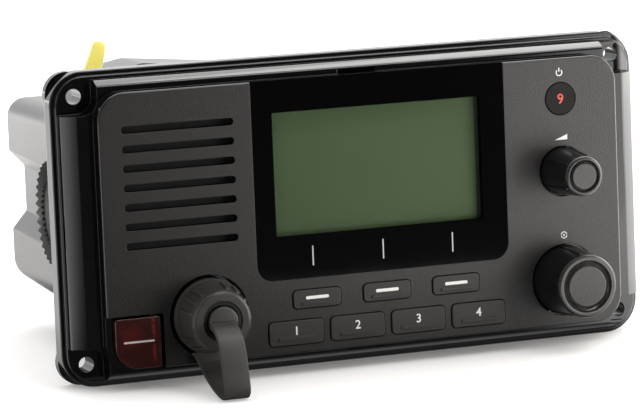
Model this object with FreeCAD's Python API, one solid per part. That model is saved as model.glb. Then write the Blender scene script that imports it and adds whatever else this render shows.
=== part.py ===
"""Fixed-mount VHF marine radio: flush-mount front, sealed die-cast rear case, keys, knobs and connectors.

Frame: +X to the right of someone facing the radio, +Y away from them, +Z up, millimetres.
Origin: centre of the four flange holes, on the plane where the flange meets the panel it is fixed to.
"""
import FreeCAD, Part
import math
import os

V = FreeCAD.Vector

# ---------------------------------------------------------------- used in every section
through = 1.0                  # how far a cut runs on past the wall that it opens
weld = 0.5                     # how deep two shapes sink into each other where they become one
sliver = 0.01                  # what a half-round end lacks of closing on itself
play = 0.1                     # between pieces that sit one in the other

# ---------------------------------------------------------------- flange and face
flange_width = 169.5
flange_height = 85.0
flange_corner = 9.3
flange_thickness = 4.8
standoff = 2.2                 # corner bosses behind the flange; the foam gasket fills this depth
hole_from_side = 6.45          # hole centres, from the flange's edges
hole_from_top = 6.5
hole_radius = 2.1
boss_radius = 6.3
step_inset = 1.25              # low step inside the flange's edge, which carries the frame
step_rise = 1.0
frame_from_side = 1.65         # upright wall of the raised frame that a snap-on trim grips
frame_from_top = 2.3
frame_upright = 3.8            # height of that wall above the rim
frame_rise = 6.6               # height of the frame's flat top above the rim
frame_slope_side = 3.9
frame_slope_top = 1.4
frame_round = 0.8
pocket_from_edge = 11.25       # corner pockets around the screw holes
pocket_corner = 4.3
clip_length_side = 9.0         # slots for the trim's clips, in the frame's sides
clip_height_side = 1.9
clip_from_rise = 0.4           # from the top of the upright wall
clip_depth = 1.2
clip_length_top = 11.0         # and beside the panel, at its top and foot
clip_width_top = 1.1
clip_depth_top = 4.0
panel_from_side = 9.75         # the flat face that carries the controls, from the flange's edges
panel_from_top = 5.3
panel_corner = 7.65
panel_rise = 11.0
front_wall = 2.5
side_wall = 1.8
edge_round = 0.5

# ---------------------------------------------------------------- loudspeaker behind its slots
slot_count = 7
slot_height = 2.0
slot_from_side = 6.2           # from the panel's edges to the slots
slot_length = 31.5
slot_from_top = 10.0
slot_from_foot = 33.26         # to the middle of the lowest slot
speaker_beyond = 3.75          # from the slots' ends to the speaker's rim
speaker_depth = 16.0
speaker_flange = 1.6
speaker_rim = 2.4
basket_wall = 1.2
magnet_radius = 11.5
magnet_height = 7.0
magnet_lap = 1.0               # the basket's floor narrows to this much inside the magnet
cone_from_rim = 3.0
cone_lip = 1.4
cone_front_gap = 0.6
cone_back_gap = 2.0            # between the cone's neck and the basket's floor
cone_neck = 5.0
cone_thickness = 0.7
dome_rise = 2.0
mesh_thickness = 0.4
mesh_margin = 3.0

# ---------------------------------------------------------------- knobs and their encoders
volume_from_side = 16.7        # from the panel's right edge
select_from_side = 16.9
round_row_from_foot = 12.8     # centres of the select knob and of the microphone socket
volume_below_channel = 20.1
volume_base_radius = 6.6
volume_top_radius = 5.44
volume_height = 14.6
volume_first_rib = 71.0        # degrees
select_base_radius = 9.6
select_top_radius = 8.66
select_height = 15.0
select_first_rib = 98.0
knob_clearance = 0.45          # ring of space around a knob's foot
knob_recess = 1.2
knob_foot_gap = 0.7            # from the recess floor to the knob, more than the push
knob_push = 0.5
knob_ribs = 5
rib_height = 0.25
rib_width = 0.55
rib_from_foot = 0.6
rib_from_face = 1.4
knob_edge = 0.6
knob_edge_share = 0.3          # the edge's middle point, as a share of the edge
knob_wall = 1.6
knob_hollow = 5.0
knob_face = 3.5                # solid depth in front of the shaft's end
dish_inner = 0.63              # flat disc in the knob's face, as a share of the face
dish_outer = 0.84
dish_depth = 0.7
dish_slope_inner = 0.25
dish_slope_outer = 0.45
shaft_radius = 3.0
shaft_clearance = 0.05
shaft_flat = 0.7               # depth of the flat that turns the rotor and the knob
shaft_end_gap = 0.6            # left behind the shaft when the knob is pushed
bush_radius = 4.5
rotor_radius = 5.0
encoder_width = 14.0
encoder_depth = 6.0
encoder_front_cover = 1.2
encoder_back_cover = 1.8
encoder_floor = 0.5
encoder_corner = 1.0

# ---------------------------------------------------------------- window and display
window_from_slots = 5.1
window_from_select = 7.4
window_from_foot = 20.4
window_corner = 4.5
window_top_corner = 0.3
lens_thickness = 1.6
view_from_left = 5.8           # lit area of the display, from the window's edges
view_from_right = 7.1
view_from_top = 8.7
view_from_bottom = 11.6
mask_gap = 1.6                 # opening in the wall behind the window, beyond the lit area
display_border = 3.1           # glass beyond the lit area
display_glass = 2.2
backlight_thickness = 3.2

# ---------------------------------------------------------------- keys
key_gap = 0.2                  # between a key and its opening
key_proud = 0.45
key_travel = 0.7
key_lip = 0.4                  # step behind the wall that keeps a key in
key_lip_thickness = 0.8
key_corner = 1.2
key_edge = 0.25
key_ridge_height = 0.35
key_ridge_width = 0.9
ridge_low = 0.24               # the ridge's place below the key's middle, as a share of its height
ridge_across = 0.66            # and its length, as a share of the key's width
function_key_count = 4
function_key_height = 6.6
function_key_gap = 2.1
function_row_left = 2.4        # from the window's left and right edges to the row's ends
function_row_right = 1.8
function_row_from_foot = 5.8
soft_key_count = 3
soft_key_width = 13.8
soft_key_height = 5.0
soft_key_gap = 6.54
soft_row_from_foot = 14.7
channel_from_top = 11.2
channel_key_radius = 4.45
channel_proud = 0.18
mat_play = 0.1                 # left between a pressed key and the mat
mat_thickness = 1.4
mat_margin = 2.6
mat_foot_gap = 0.3
mat_corner = 1.5
pad_margin = 2.0
mat_plunger_radius = 1.4
mat_plunger_length = 1.6
switch_radius = 2.0
switch_height = 1.6

# ---------------------------------------------------------------- distress door and button
door_from_side = 2.15          # from the panel's left edge
door_from_foot = 0.45
door_width = 12.75
door_height = 13.65
door_corner = 6.2
door_small_corner = 0.6
door_edge = 0.3
door_thickness = 1.7
door_step = 1.8                # depth of the shallow recess that the door closes
door_gap = 0.7
door_hinge_gap = 0.95
step_corner = 1.2
hinge_from_edge = 1.5
hinge_behind = 0.1             # hinge axis behind the back of the door's leaf
knuckle_radius = 1.4
knuckle_length = 3.4
door_pin_radius = 0.6
pin_clearance = 0.05
ear_radius = 1.0               # bosses that hold the ends of the pin
ear_length = 1.6
ear_gap = 0.3                  # between an ear and a knuckle
door_relief = 1.15             # from the hinge axis to the thinned leaf in front of ears and spring
relief_width = 2.0
pin_seat = 0.5                 # depth of the pin's ends in the wall
spring_wire = 0.2              # radius of the torsion spring's wire
spring_leg = 3.0
swing_room = 1.2               # height of the room for the door's lower corner
well_depth = 6.2
well_wall = 1.5
well_corner = 1.0
distress_from_door_side = 5.45
distress_from_door_foot = 7.35
distress_radius = 3.2
distress_gap = 0.6             # around the button, in the well
distress_proud = 2.9           # from the well's floor to the button's face
distress_stem = 1.4
stem_clearance = 0.15
distress_travel = 1.0
distress_rest = 0.2            # what stays open when the button is pressed
distress_switch_size = 6.0
distress_switch_height = 1.9
distress_board_width = 9.0
distress_board_height = 11.0
distress_board_x = 1.5         # board's middle, from the button's
distress_board_z = 1.0
small_corner = 0.5

# ---------------------------------------------------------------- microphone socket and its cap
socket_from_side = 28.6        # from the panel's left edge
socket_recess_radius = 11.1
socket_recess = 3.4
socket_ring_wall = 1.5
socket_ring_depth = 2.4        # wall behind the recess, which the nut clamps
barrel_radius = 7.0
barrel_wall = 1.3
barrel_reach = 6.2             # ahead of the panel
barrel_tail = 2.0
socket_flange_radius = 10.2
socket_flange = 1.4
socket_nut = 3.0
socket_nut_radius = 10.4       # to the nut's corners
insert_depth = 3.4             # contact carrier, behind the barrel's mouth
contact_count = 8
contact_radius = 0.5
contact_circle = 3.2
contact_set_back = 1.0
contact_tail = 2.5
collar_back_radius = 9.5
collar_front_radius = 8.1
collar_gap = 2.2               # between the panel and the turning collar
collar_lip = 2.6
collar_mouth = 5.5
collar_edge = 0.4
collar_nose = 1.2
collar_nose_drop = 0.8
collar_groups = 4               # groups of three raised ridges round the collar
group_first = 54.0
ridge_step = 20.0
ridge_height = 0.45
ridge_width = 0.9
ridge_from_front = 1.6
ridge_from_back = 0.6
ridge_lead = 0.5
plug_flange = 1.5
plug_set_back = 0.3
plug_neck_gap = 0.12
cap_seal_thickness = 0.55
cap_seal_gap = 0.05
swivel_radius = 4.35
swivel_proud = 1.2
swivel_depth = 1.5
strap_width = 7.2
strap_thickness = 1.3
strap_aside = 0.5              # strap's middle to the left of the socket's
strap_reach = 10.6             # the strap's bend farthest forward, from the collar
strap_below = 0.7              # and its lowest point, from the foot of the flange
strap_ring_gap = 0.3
strap_ring_thickness = 1.5
strap_ring_radius = 10.2
strap_clearance = 0.02
strap_bits = 28                # stretches that the strap's two faces are drawn through

# ---------------------------------------------------------------- rear case
skirt_depth = 8.0              # part of the case that belongs to the front, behind the flange
skirt_wall = 2.6
case_seal_thickness = 1.0
case_wall = 3.0
case_rear = 80.0
rear_wall = 4.0
side_draft = 3.0               # degrees
top_draft = 1.5
lobe_from_side = 9.35          # widest part of the case, from the flange's edge
lobe_width = 15.4              # from the lobe's side to the block's
foot_from_block = 9.7
block_from_top = 8.1           # top and bottom of the block, from the flange's edges
block_from_foot = 2.5
lobe_below_top = 5.2
lobe_above_foot = 17.7
lobe_slope_top = 12.4          # the lobes step in around the tilt-bracket axis
recess_top = 7.7
recess_bottom = -5.4
lobe_slope_bottom = -10.3
recess_step = 4.3
block_round = 2.0
shoulder_round = 1.0
lobe_round_top = 5.5
lobe_round_foot = 7.0
recess_round = 1.2
foot_round = 3.0
slant_share = 0.4              # how a slanted side's ends move when the outline is drawn in
foam_inset = 1.5
foam_gap = 1.2                 # between the foam gasket and the case
foam_boss_gap = 0.2
seal_inset = 0.2
seal_inner = 2.4

# ---------------------------------------------------------------- heat sink and connector bay
fin_length = 20.0
fin_thickness = 2.2
fin_pitch = 7.4
fin_base = 3.0
fin_from_top = 4.0             # from the top of the block
fin_from_side = 2.0
fin_from_foot = 3.0
hood_left_drop = 1.4           # roof over the cable side of the heat sink, below the top of the block
hood_crest_drop = -0.1
hood_right_drop = 2.6
hood_crest_from_bay = 8.3
hood_right_from_bay = 36.5
hood_thickness = 2.0
hood_corner = 0.5
bay_beyond_block = 1.5
bay_width = 23.0
bay_depth = 10.0
bay_wall_left = 2.0
bay_wall_right = 2.5
bay_corner = 2.0

# ---------------------------------------------------------------- tilt-bracket bosses
bracket_y = 29.0
bracket_radius = 14.7
bracket_inner = 9.5
bracket_from_lobe = 0.2        # the teeth's tips, inside the lobe's side
bracket_depth = 12.2
bracket_teeth = 36
tooth_height = 1.0
tooth_base = 2.0
insert_radius = 4.5
insert_bore = 2.5              # tapping size of an M6 thread
insert_length = 10.0
insert_sunk = 0.2
insert_boss_wall = 2.0
insert_boss_depth = 16.0

# ---------------------------------------------------------------- case screws
screw_from_lobe = 8.4
screw_from_lobe_top = 8.6
screw_from_lobe_foot = 7.3
screw_head_radius = 2.9
screw_head_height = 2.2
screw_radius = 1.6
screw_hole_gap = 0.15
screw_port_gap = 0.5
screw_port_wall = 1.4
screw_floor = 6.0              # from the front of the rear case to the screw's head
screw_bite = 7.0
screw_tip_gap = 0.3
post_wall = 2.2
post_floor = 1.5
cross_length = 3.0
cross_width = 0.7
cross_depth = 1.0

# ---------------------------------------------------------------- rear connectors
connector_from_bay = 10.5      # their common line, from the bay's left side
gland_above_foot = 13.5        # from the bottom of the block
network_above_gland = 17.0
antenna_above_network = 22.0
neck_length = 6.0              # what reaches into the case behind each connector
antenna_radius = 7.9           # outside of the 5/8 inch thread
antenna_neck = 7.5
antenna_length = 13.0
antenna_flange = 2.0
antenna_flange_radius = 9.8
antenna_bore = 5.6
antenna_contact_radius = 2.0
antenna_contact_bore = 1.3
antenna_set_back = 1.0
antenna_cap_wall = 0.8
antenna_cap_lift = 0.3
antenna_cap_head = 0.4
tab_angle = 18.0
tab_length = 21.6
tab_width = 7.6
tab_tip = 3.8
tab_tip_flat = 0.2
tab_lap = 1.5
tab_thickness = 1.4
network_radius = 6.0
network_neck = 5.0
network_length = 11.0
network_base = 2.0
network_base_radius = 8.2
network_wall = 1.6
network_floor = 3.0
network_pins = 5
network_pin_radius = 0.5
network_pin_circle = 2.2
network_pin_set_back = 2.0
gland_radius = 6.2
gland_neck = 5.2
gland_length = 12.0
gland_bore = 3.3
gland_nut_radius = 8.0
gland_nut = 4.5
gland_shoulder = 1.5
gland_shoulder_step = 0.8
gland_nose_step = 2.0

# ---------------------------------------------------------------- boards and inner hardware
board_thickness = 1.6
front_board_y = -8.6
front_board_from_left = 30.0   # from the inside of the panel's walls
front_board_from_right = 2.0
front_board_from_top = 1.5
front_board_corner = 2.0
barrel_hole_gap = 2.0
magnet_hole_gap = 1.5
main_board_from_block = 6.0
main_board_z = -12.0
main_board_from_front = 3.0
main_board_from_rear = 18.0
shield_from_left = 14.0        # from the main board's edges
shield_width = 52.0
shield_from_front = 8.0
shield_from_rear = 6.0
shield_height = 9.0
shield_wall = 0.6
amplifier_from_right = 4.0
amplifier_width = 60.0
amplifier_depth = 11.0
amplifier_height = 10.0
amplifier_above_board = 4.0
ribbon_from_left = 46.0
ribbon_width = 26.0
ribbon_thickness = 0.5
ribbon_above_board = 1.4
ribbon_end = 3.0               # depth of its two connectors
ribbon_end_height = 4.0
ribbon_on_board = 1.0

# ---------------------------------------------------------------- planes worked out from the sizes
flange_half_x = flange_width / 2
flange_half_z = flange_height / 2
panel_half_x = flange_half_x - panel_from_side
panel_half_z = flange_half_z - panel_from_top
flange_back = -standoff
rim_y = flange_back - flange_thickness
step_y = rim_y - step_rise
knee_y = rim_y - frame_upright
land_y = rim_y - frame_rise
panel_y = rim_y - panel_rise
inner_y = panel_y + front_wall
skirt_y = skirt_depth
case_front = skirt_y + case_seal_thickness
key_back_y = inner_y + key_lip_thickness
mat_y = key_back_y + key_travel + mat_play
mat_back_y = mat_y + mat_thickness
switch_y = front_board_y - switch_height
encoder_y = front_board_y - encoder_depth
barrel_front = panel_y - barrel_reach
collar_back = panel_y - collar_gap
plug_back = barrel_front - cap_seal_gap - cap_seal_thickness
lip_y = plug_back - plug_flange - play
collar_front = lip_y - collar_lip
mount_holes = [(sx * (flange_half_x - hole_from_side), sz * (flange_half_z - hole_from_top))
               for sx in (-1, 1) for sz in (-1, 1)]

# ---------------------------------------------------------------- places on the face, left to right
slot_left = -panel_half_x + slot_from_side
slot_right = slot_left + slot_length
slot_top_z = panel_half_z - slot_from_top
slot_low_z = -panel_half_z + slot_from_foot
slot_pitch = (slot_top_z - slot_low_z) / (slot_count - 1)
slots = [slot_top_z - i * slot_pitch for i in range(slot_count)]
speaker_x = (slot_left + slot_right) / 2
speaker_z = (slot_top_z + slot_low_z) / 2
speaker_radius = slot_length / 2 + speaker_beyond

door_left = -panel_half_x + door_from_side
door_right = door_left + door_width
door_bottom = -panel_half_z + door_from_foot
door_top = door_bottom + door_height
distress_x = door_left + distress_from_door_side
distress_z = door_bottom + distress_from_door_foot
well_right = door_right + door_hinge_gap
well_top = door_top + door_gap
well_left = distress_x - distress_radius - distress_gap
well_bottom = -panel_half_z + side_wall
well_floor = panel_y + well_depth
hinge_x = door_right - hinge_from_edge
hinge_y = panel_y + door_thickness + hinge_behind
low_knuckle = well_bottom + ear_length + ear_gap
high_knuckle = well_top - ear_length - ear_gap

socket_x = -panel_half_x + socket_from_side
socket_z = -panel_half_z + round_row_from_foot
volume_x = panel_half_x - volume_from_side
select_x = panel_half_x - select_from_side
select_z = socket_z
channel_key_x = select_x
channel_key_z = panel_half_z - channel_from_top
volume_z = channel_key_z - volume_below_channel
knobs = {
    "volume": (volume_x, volume_z, volume_base_radius, volume_top_radius, volume_height, volume_first_rib),
    "select": (select_x, select_z, select_base_radius, select_top_radius, select_height, select_first_rib),
}

window_left = slot_right + window_from_slots
window_right = select_x - select_base_radius - window_from_select
window_bottom = -panel_half_z + window_from_foot
view_left = window_left + view_from_left
view_right = window_right - view_from_right
view_top = panel_half_z - view_from_top
view_bottom = window_bottom + view_from_bottom


def key_row(middle, z, width, gap, count):
    """The middles of a row of keys."""
    first = middle - (count - 1) * (width + gap) / 2
    return [(first + i * (width + gap), z) for i in range(count)]


row_left = window_left + function_row_left
row_right = window_right - function_row_right
function_key_width = (row_right - row_left + function_key_gap) / function_key_count - function_key_gap
function_keys = key_row((row_left + row_right) / 2, -panel_half_z + function_row_from_foot,
                        function_key_width, function_key_gap, function_key_count)
soft_keys = key_row((row_left + row_right) / 2, -panel_half_z + soft_row_from_foot,
                    soft_key_width, soft_key_gap, soft_key_count)
key_sizes = [(x, z, function_key_width, function_key_height) for x, z in function_keys]
key_sizes += [(x, z, soft_key_width, soft_key_height) for x, z in soft_keys]

# ---------------------------------------------------------------- places on the rear case
lobe_half = flange_half_x - lobe_from_side
block_half = lobe_half - lobe_width
foot_half = block_half - foot_from_block
block_top = flange_half_z - block_from_top
block_bottom = -flange_half_z + block_from_foot
lobe_top = block_top - lobe_below_top
lobe_bottom = block_bottom + lobe_above_foot
bracket_face = lobe_half - bracket_from_lobe
bracket_root = bracket_face - tooth_height
case_screws = [(sx * (lobe_half - screw_from_lobe), z) for sx in (-1, 1)
               for z in (lobe_top - screw_from_lobe_top, lobe_bottom + screw_from_lobe_foot)]
bay_left = -block_half - bay_beyond_block
bay_right = bay_left + bay_width
bay_floor = case_rear - bay_depth
connector_x = bay_left + connector_from_bay
gland_z = block_bottom + gland_above_foot
network_z = gland_z + network_above_gland
antenna_z = network_z + antenna_above_network


# ---------------------------------------------------------------- shape makers
def box(x0, x1, y0, y1, z0, z1):
    return Part.makeBox(x1 - x0, y1 - y0, z1 - z0, V(x0, y0, z0))


def rod(x, z, radius, y0, y1):
    """A round bar along Y."""
    return Part.makeCylinder(radius, y1 - y0, V(x, y0, z), V(0, 1, 0))


def upright(x, y, radius, z0, z1):
    """A round bar along Z."""
    return Part.makeCylinder(radius, z1 - z0, V(x, y, z0), V(0, 0, 1))


def sideways(side, x, y, radius, length):
    """A round bar along X, from x on that side of the middle inwards."""
    return Part.makeCylinder(radius, length, V(side * x, y, 0), V(-side, 0, 0))


def tube(x, z, outer, inner, y0, y1):
    return rod(x, z, outer, y0, y1).cut(rod(x, z, inner, y0 - through, y1 + through))


def turned(x, z, points):
    """A solid turned about the Y line through (x, z), from (y, radius) points."""
    wire = Part.makePolygon([V(x + r, y, z) for y, r in points + points[:1]])
    return Part.Face(wire).revolve(V(x, 0, z), V(0, 1, 0), 360)


def rounded(points, y):
    """A closed outline at depth y from (x, z, corner radius) points."""
    ends, arcs = [], []
    count = len(points)
    for i, (x, z, radius) in enumerate(points):
        here = V(x, y, z)
        back = V(points[i - 1][0], y, points[i - 1][1]) - here
        ahead = V(points[(i + 1) % count][0], y, points[(i + 1) % count][1]) - here
        back.normalize()
        ahead.normalize()
        if radius <= 0:
            ends.append((here, here))
            arcs.append(None)
            continue
        half = back.getAngle(ahead) / 2
        reach = radius / math.tan(half)
        middle = back + ahead
        middle.normalize()
        peak = here + middle * (radius / math.sin(half) - radius)
        ends.append((here + back * reach, here + ahead * reach))
        arcs.append(peak)
    edges = []
    for i in range(count):
        if arcs[i] is not None:
            edges.append(Part.Arc(ends[i][0], arcs[i], ends[i][1]).toShape())
        after = ends[(i + 1) % count][0]
        if (after - ends[i][1]).Length > 1e-6:
            edges.append(Part.LineSegment(ends[i][1], after).toShape())
    return Part.Wire(Part.__sortEdges__(edges))


def slab(points, y0, y1):
    """A plate of that outline from y0 to y1."""
    return Part.Face(rounded(points, y0)).extrude(V(0, y1 - y0, 0))


def corners(x0, x1, z0, z1, radius):
    return [(x0, z0, radius), (x0, z1, radius), (x1, z1, radius), (x1, z0, radius)]


def plate(x0, x1, z0, z1, radius, y0, y1):
    return slab(corners(x0, x1, z0, z1, radius), y0, y1)


def centred(x, z, width, height, radius, y0, y1):
    return plate(x - width / 2, x + width / 2, z - height / 2, z + height / 2, radius, y0, y1)


def around(x, z, radius, degrees):
    """A place on a circle about (x, z)."""
    angle = math.radians(degrees)
    return x + radius * math.cos(angle), z + radius * math.sin(angle)


def hexagon(x, z, radius, corner, y0, y1):
    return slab([(*around(x, z, radius, 60 * i), corner) for i in range(6)], y0, y1)


def join(first, *others):
    for other in others:
        first = first.fuse(other)
    return first.removeSplitter()


def less(first, *others):
    for other in others:
        first = first.cut(other)
    return first


def edges_at(shape, y):
    """Edges of a shape that lie in the plane at depth y."""
    return [e for e in shape.Edges
            if abs(e.BoundBox.YMin - y) < 1e-4 and abs(e.BoundBox.YMax - y) < 1e-4]


def softened(shape, y, radius):
    return shape.makeFillet(radius, edges_at(shape, y))


def mirrored(shape):
    return shape.mirror(V(0, 0, 0), V(1, 0, 0))


def body_outline(y, inset=0.0):
    """Cross-section of the rear case: a wide block with a lobe on each side, drawn in as y grows."""
    run = max(0.0, y - skirt_y)
    side = lobe_half - run * math.tan(math.radians(side_draft)) - inset
    waist = side - recess_step
    lift = run * math.tan(math.radians(top_draft))
    slant = inset * slant_share
    shoulder = lobe_top - lift - inset
    right = [
        (block_half - inset, block_top - lift - inset, block_round),
        (block_half - inset, shoulder, shoulder_round),
        (side, shoulder, lobe_round_top - inset / 2),
        (side, lobe_slope_top + slant, recess_round),
        (waist, recess_top + slant, recess_round),
        (waist, recess_bottom - slant, recess_round),
        (side, lobe_slope_bottom - slant, recess_round),
        (side, lobe_bottom + slant, lobe_round_foot - inset / 2),
        (foot_half - slant, block_bottom + lift + inset, foot_round),
    ]
    return right + [(-x, z, r) for x, z, r in reversed(right)]


def body(y0, y1, inset=0.0):
    """The case between two depths, following the draft."""
    first = rounded(body_outline(y0, inset), y0)
    last = rounded(body_outline(y1, inset), y1)
    return Part.makeLoft([first, last], True, True)


os.makedirs("parts", exist_ok=True)


def keep(node, shape):
    """Write one node's STEP file."""
    shape.exportStep("parts/" + node + ".step")


# ---------------------------------------------------------------- front housing
def trim_frame():
    """Raised frame with upright, then sloping sides, cut away at the corners and notched for clips."""
    foot_x = flange_half_x - frame_from_side
    foot_z = flange_half_z - frame_from_top
    head_x = foot_x - frame_slope_side
    head_z = foot_z - frame_slope_top
    knee = rounded(corners(-foot_x, foot_x, -foot_z, foot_z, 0), knee_y)
    head = rounded(corners(-head_x, head_x, -head_z, head_z, 0), land_y)
    wall = Part.Face(knee).extrude(V(0, rim_y + weld - knee_y, 0))
    frame = join(wall, Part.makeLoft([knee, head], True, True))
    frame = frame.makeFillet(frame_round, edges_at(frame, land_y) + edges_at(frame, knee_y))
    for sx in (-1, 1):
        for sz in (-1, 1):
            near_x = sx * (flange_half_x - pocket_from_edge)
            near_z = sz * (flange_half_z - pocket_from_edge)
            far_x = sx * (flange_half_x + through)
            far_z = sz * (flange_half_z + through)
            pocket = [(near_x, near_z, pocket_corner), (near_x, far_z, 0),
                      (far_x, far_z, 0), (far_x, near_z, 0)]
            frame = frame.cut(slab(pocket, land_y - through, rim_y + weld + through))
    clip_y = knee_y + clip_from_rise
    for sx in (-1, 1):
        frame = frame.cut(centred(sx * foot_x, 0, 2 * clip_depth, clip_length_side, 0,
                                  clip_y, clip_y + clip_height_side))
    return frame


def clip_slots():
    """Slots beside the panel, in the frame's flat top."""
    return [centred(0, sz * (panel_half_z + clip_width_top / 2), clip_length_top, clip_width_top, 0,
                    land_y - through, land_y + clip_depth_top) for sz in (-1, 1)]


def key_openings():
    cuts = []
    for x, z, width, height in key_sizes:
        cuts.append(centred(x, z, width + 2 * key_gap, height + 2 * key_gap, key_corner + key_gap,
                            panel_y - through, inner_y + through))
    cuts.append(rod(channel_key_x, channel_key_z, channel_key_radius + key_gap,
                    panel_y - through, inner_y + through))
    return cuts


def knob_openings():
    cuts = []
    for x, z, base, *_ in knobs.values():
        cuts.append(rod(x, z, base + knob_clearance, panel_y - through, panel_y + knob_recess))
        cuts.append(rod(x, z, bush_radius + play, panel_y, inner_y + through))
    return cuts


def speaker_slots():
    return [centred(speaker_x, z, slot_length, slot_height, slot_height / 2 - sliver,
                    panel_y - through, inner_y + through) for z in slots]


def window_openings():
    """The window's seat, open at the top of the panel, and the hole in front of the display."""
    left = window_left - play
    right = window_right + play
    bottom = window_bottom - play
    top = panel_half_z + through
    seat = [(left, bottom, window_corner), (left, top, 0), (right, top, 0), (right, bottom, window_corner)]
    return [slab(seat, panel_y - through, panel_y + lens_thickness),
            plate(view_left - mask_gap, view_right + mask_gap, view_bottom - mask_gap, view_top + mask_gap,
                  well_corner, panel_y, inner_y + through)]


def door_openings():
    """The door's shallow step, which runs off two edges of the face, and the button's well behind it."""
    side = -panel_half_x - through
    foot = -panel_half_z - through
    step = [(side, foot, 0), (side, well_top, 0), (well_right, well_top, step_corner), (well_right, foot, 0)]
    return [slab(step, panel_y - through, panel_y + door_step),
            plate(well_left, well_right, well_bottom, well_top, well_corner, panel_y, well_floor),
            rod(distress_x, distress_z, distress_stem + stem_clearance,
                well_floor - through, well_floor + well_wall + through),
            # room for the door's lower corner, which swings in beside the hinge
            box(hinge_x + ear_radius - pin_clearance, well_right, panel_y,
                hinge_y + hinge_from_edge + ear_gap, foot, well_bottom + swing_room)]


def screw_posts():
    """Posts at the sides of the skirt that the case screws bite into."""
    start = skirt_y - screw_bite - post_floor
    radius = screw_radius + post_wall
    inside = slab(body_outline(flange_back, weld), start, skirt_y)
    posts = []
    for x, z in case_screws:
        edge = math.copysign(lobe_half, x)
        web = box(min(x, edge), max(x, edge), start, skirt_y, z - radius, z + radius)
        posts.append(rod(x, z, radius, start, skirt_y).fuse(web).common(inside))
    return posts


def make_front_housing():
    flange = centred(0, 0, flange_width, flange_height, flange_corner, rim_y, flange_back)
    flange = softened(flange, rim_y, edge_round)
    step = centred(0, 0, flange_width - 2 * step_inset, flange_height - 2 * step_inset,
                   flange_corner - step_inset, step_y, rim_y + weld)
    step = softened(step, step_y, edge_round)
    bosses = [rod(x, z, boss_radius, flange_back - weld, 0) for x, z in mount_holes]
    face = centred(0, 0, 2 * panel_half_x, 2 * panel_half_z, panel_corner, panel_y, flange_back)
    face = softened(face, panel_y, edge_round)
    skirt = slab(body_outline(flange_back), flange_back - weld, skirt_y)
    shell = join(flange, step, trim_frame(), face, skirt, *bosses)

    room_x = panel_half_x - side_wall
    room_z = panel_half_z - side_wall
    room = centred(0, 0, 2 * room_x, 2 * room_z, panel_corner - side_wall, inner_y, flange_back - front_wall)
    throat = slab(body_outline(flange_back, skirt_wall),
                  flange_back - front_wall - through, skirt_y + through)
    shell = less(shell, room, throat)

    # the walls of the deep well behind the door, and a thick ring that carries the microphone socket
    well = plate(well_left - well_wall, well_right + well_wall, well_bottom - weld, well_top + well_wall,
                 well_corner, inner_y - weld, well_floor + well_wall)
    ring = rod(socket_x, socket_z, socket_recess_radius + socket_ring_wall,
               inner_y - weld, panel_y + socket_recess + socket_ring_depth)
    inside = centred(0, 0, 2 * (room_x + weld), 2 * (room_z + weld), panel_corner - side_wall,
                     inner_y - weld, flange_back)
    shell = join(shell, well.common(inside), ring.common(inside), *screw_posts())

    cuts = key_openings() + knob_openings() + speaker_slots() + clip_slots()
    cuts += window_openings() + door_openings()
    cuts += [rod(x, z, hole_radius, step_y - through, through) for x, z in mount_holes]
    cuts += [rod(x, z, screw_radius, skirt_y - screw_bite, skirt_y + through) for x, z in case_screws]
    cuts.append(rod(socket_x, socket_z, socket_recess_radius, panel_y - through, panel_y + socket_recess))
    cuts.append(rod(socket_x, socket_z, barrel_radius + play,
                    panel_y, panel_y + socket_recess + socket_ring_depth + through))
    shell = less(shell, *cuts)
    # bearing ears for the door's pin, at the top and the foot of the well
    for z0 in (well_top - ear_length, well_bottom - pin_seat):
        shell = shell.fuse(upright(hinge_x, hinge_y, ear_radius, z0, z0 + ear_length + pin_seat))
    return shell.cut(hinge_pin()).removeSplitter()


def hinge_pin():
    return upright(hinge_x, hinge_y, door_pin_radius, well_bottom - pin_seat, well_top + pin_seat)


keep("front_housing", make_front_housing())

# ---------------------------------------------------------------- window, display and front board
lens = [(window_left, window_bottom, window_corner), (window_left, panel_half_z, window_top_corner),
        (window_right, panel_half_z, window_top_corner), (window_right, window_bottom, window_corner)]
keep("display_window", slab(lens, panel_y, panel_y + lens_thickness))


def display_layer(y0, thickness):
    """A plate as large as the display's glass."""
    return box(view_left - display_border, view_right + display_border, y0, y0 + thickness,
               view_bottom - display_border, view_top + display_border)


keep("lcd_panel", display_layer(inner_y, display_glass))
keep("backlight", display_layer(inner_y + display_glass, backlight_thickness))


def make_front_board():
    """The board behind the face, cut away around the socket and the loudspeaker's magnet."""
    left = -panel_half_x + side_wall + front_board_from_left
    right = panel_half_x - side_wall - front_board_from_right
    top = panel_half_z - side_wall - front_board_from_top
    back = front_board_y + board_thickness
    board = plate(left, right, -top, top, front_board_corner, front_board_y, back)
    return less(board,
                rod(socket_x, socket_z, socket_flange_radius + barrel_hole_gap,
                    front_board_y - through, back + through),
                rod(speaker_x, speaker_z, speaker_radius + magnet_hole_gap,
                    front_board_y - through, back + through))


keep("front_board", make_front_board())


# ---------------------------------------------------------------- keys, their mat and switches
def key_cap(x, z, width, height):
    """A key: a rounded block with a lip behind the wall and a raised ridge low on its face."""
    front = panel_y - key_proud
    cap = softened(centred(x, z, width, height, key_corner, front, inner_y), front, key_edge)
    lip = centred(x, z, width + 2 * key_gap + 2 * key_lip, height + 2 * key_gap, key_corner,
                  inner_y, key_back_y)
    ridge = centred(x, z - height * ridge_low, width * ridge_across, key_ridge_width,
                    key_ridge_width / 2 - sliver, front - key_ridge_height, front + weld)
    return join(cap, lip, ridge)


def plunger(x, z):
    return rod(x, z, mat_plunger_radius, mat_y, mat_back_y + mat_plunger_length)


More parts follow.
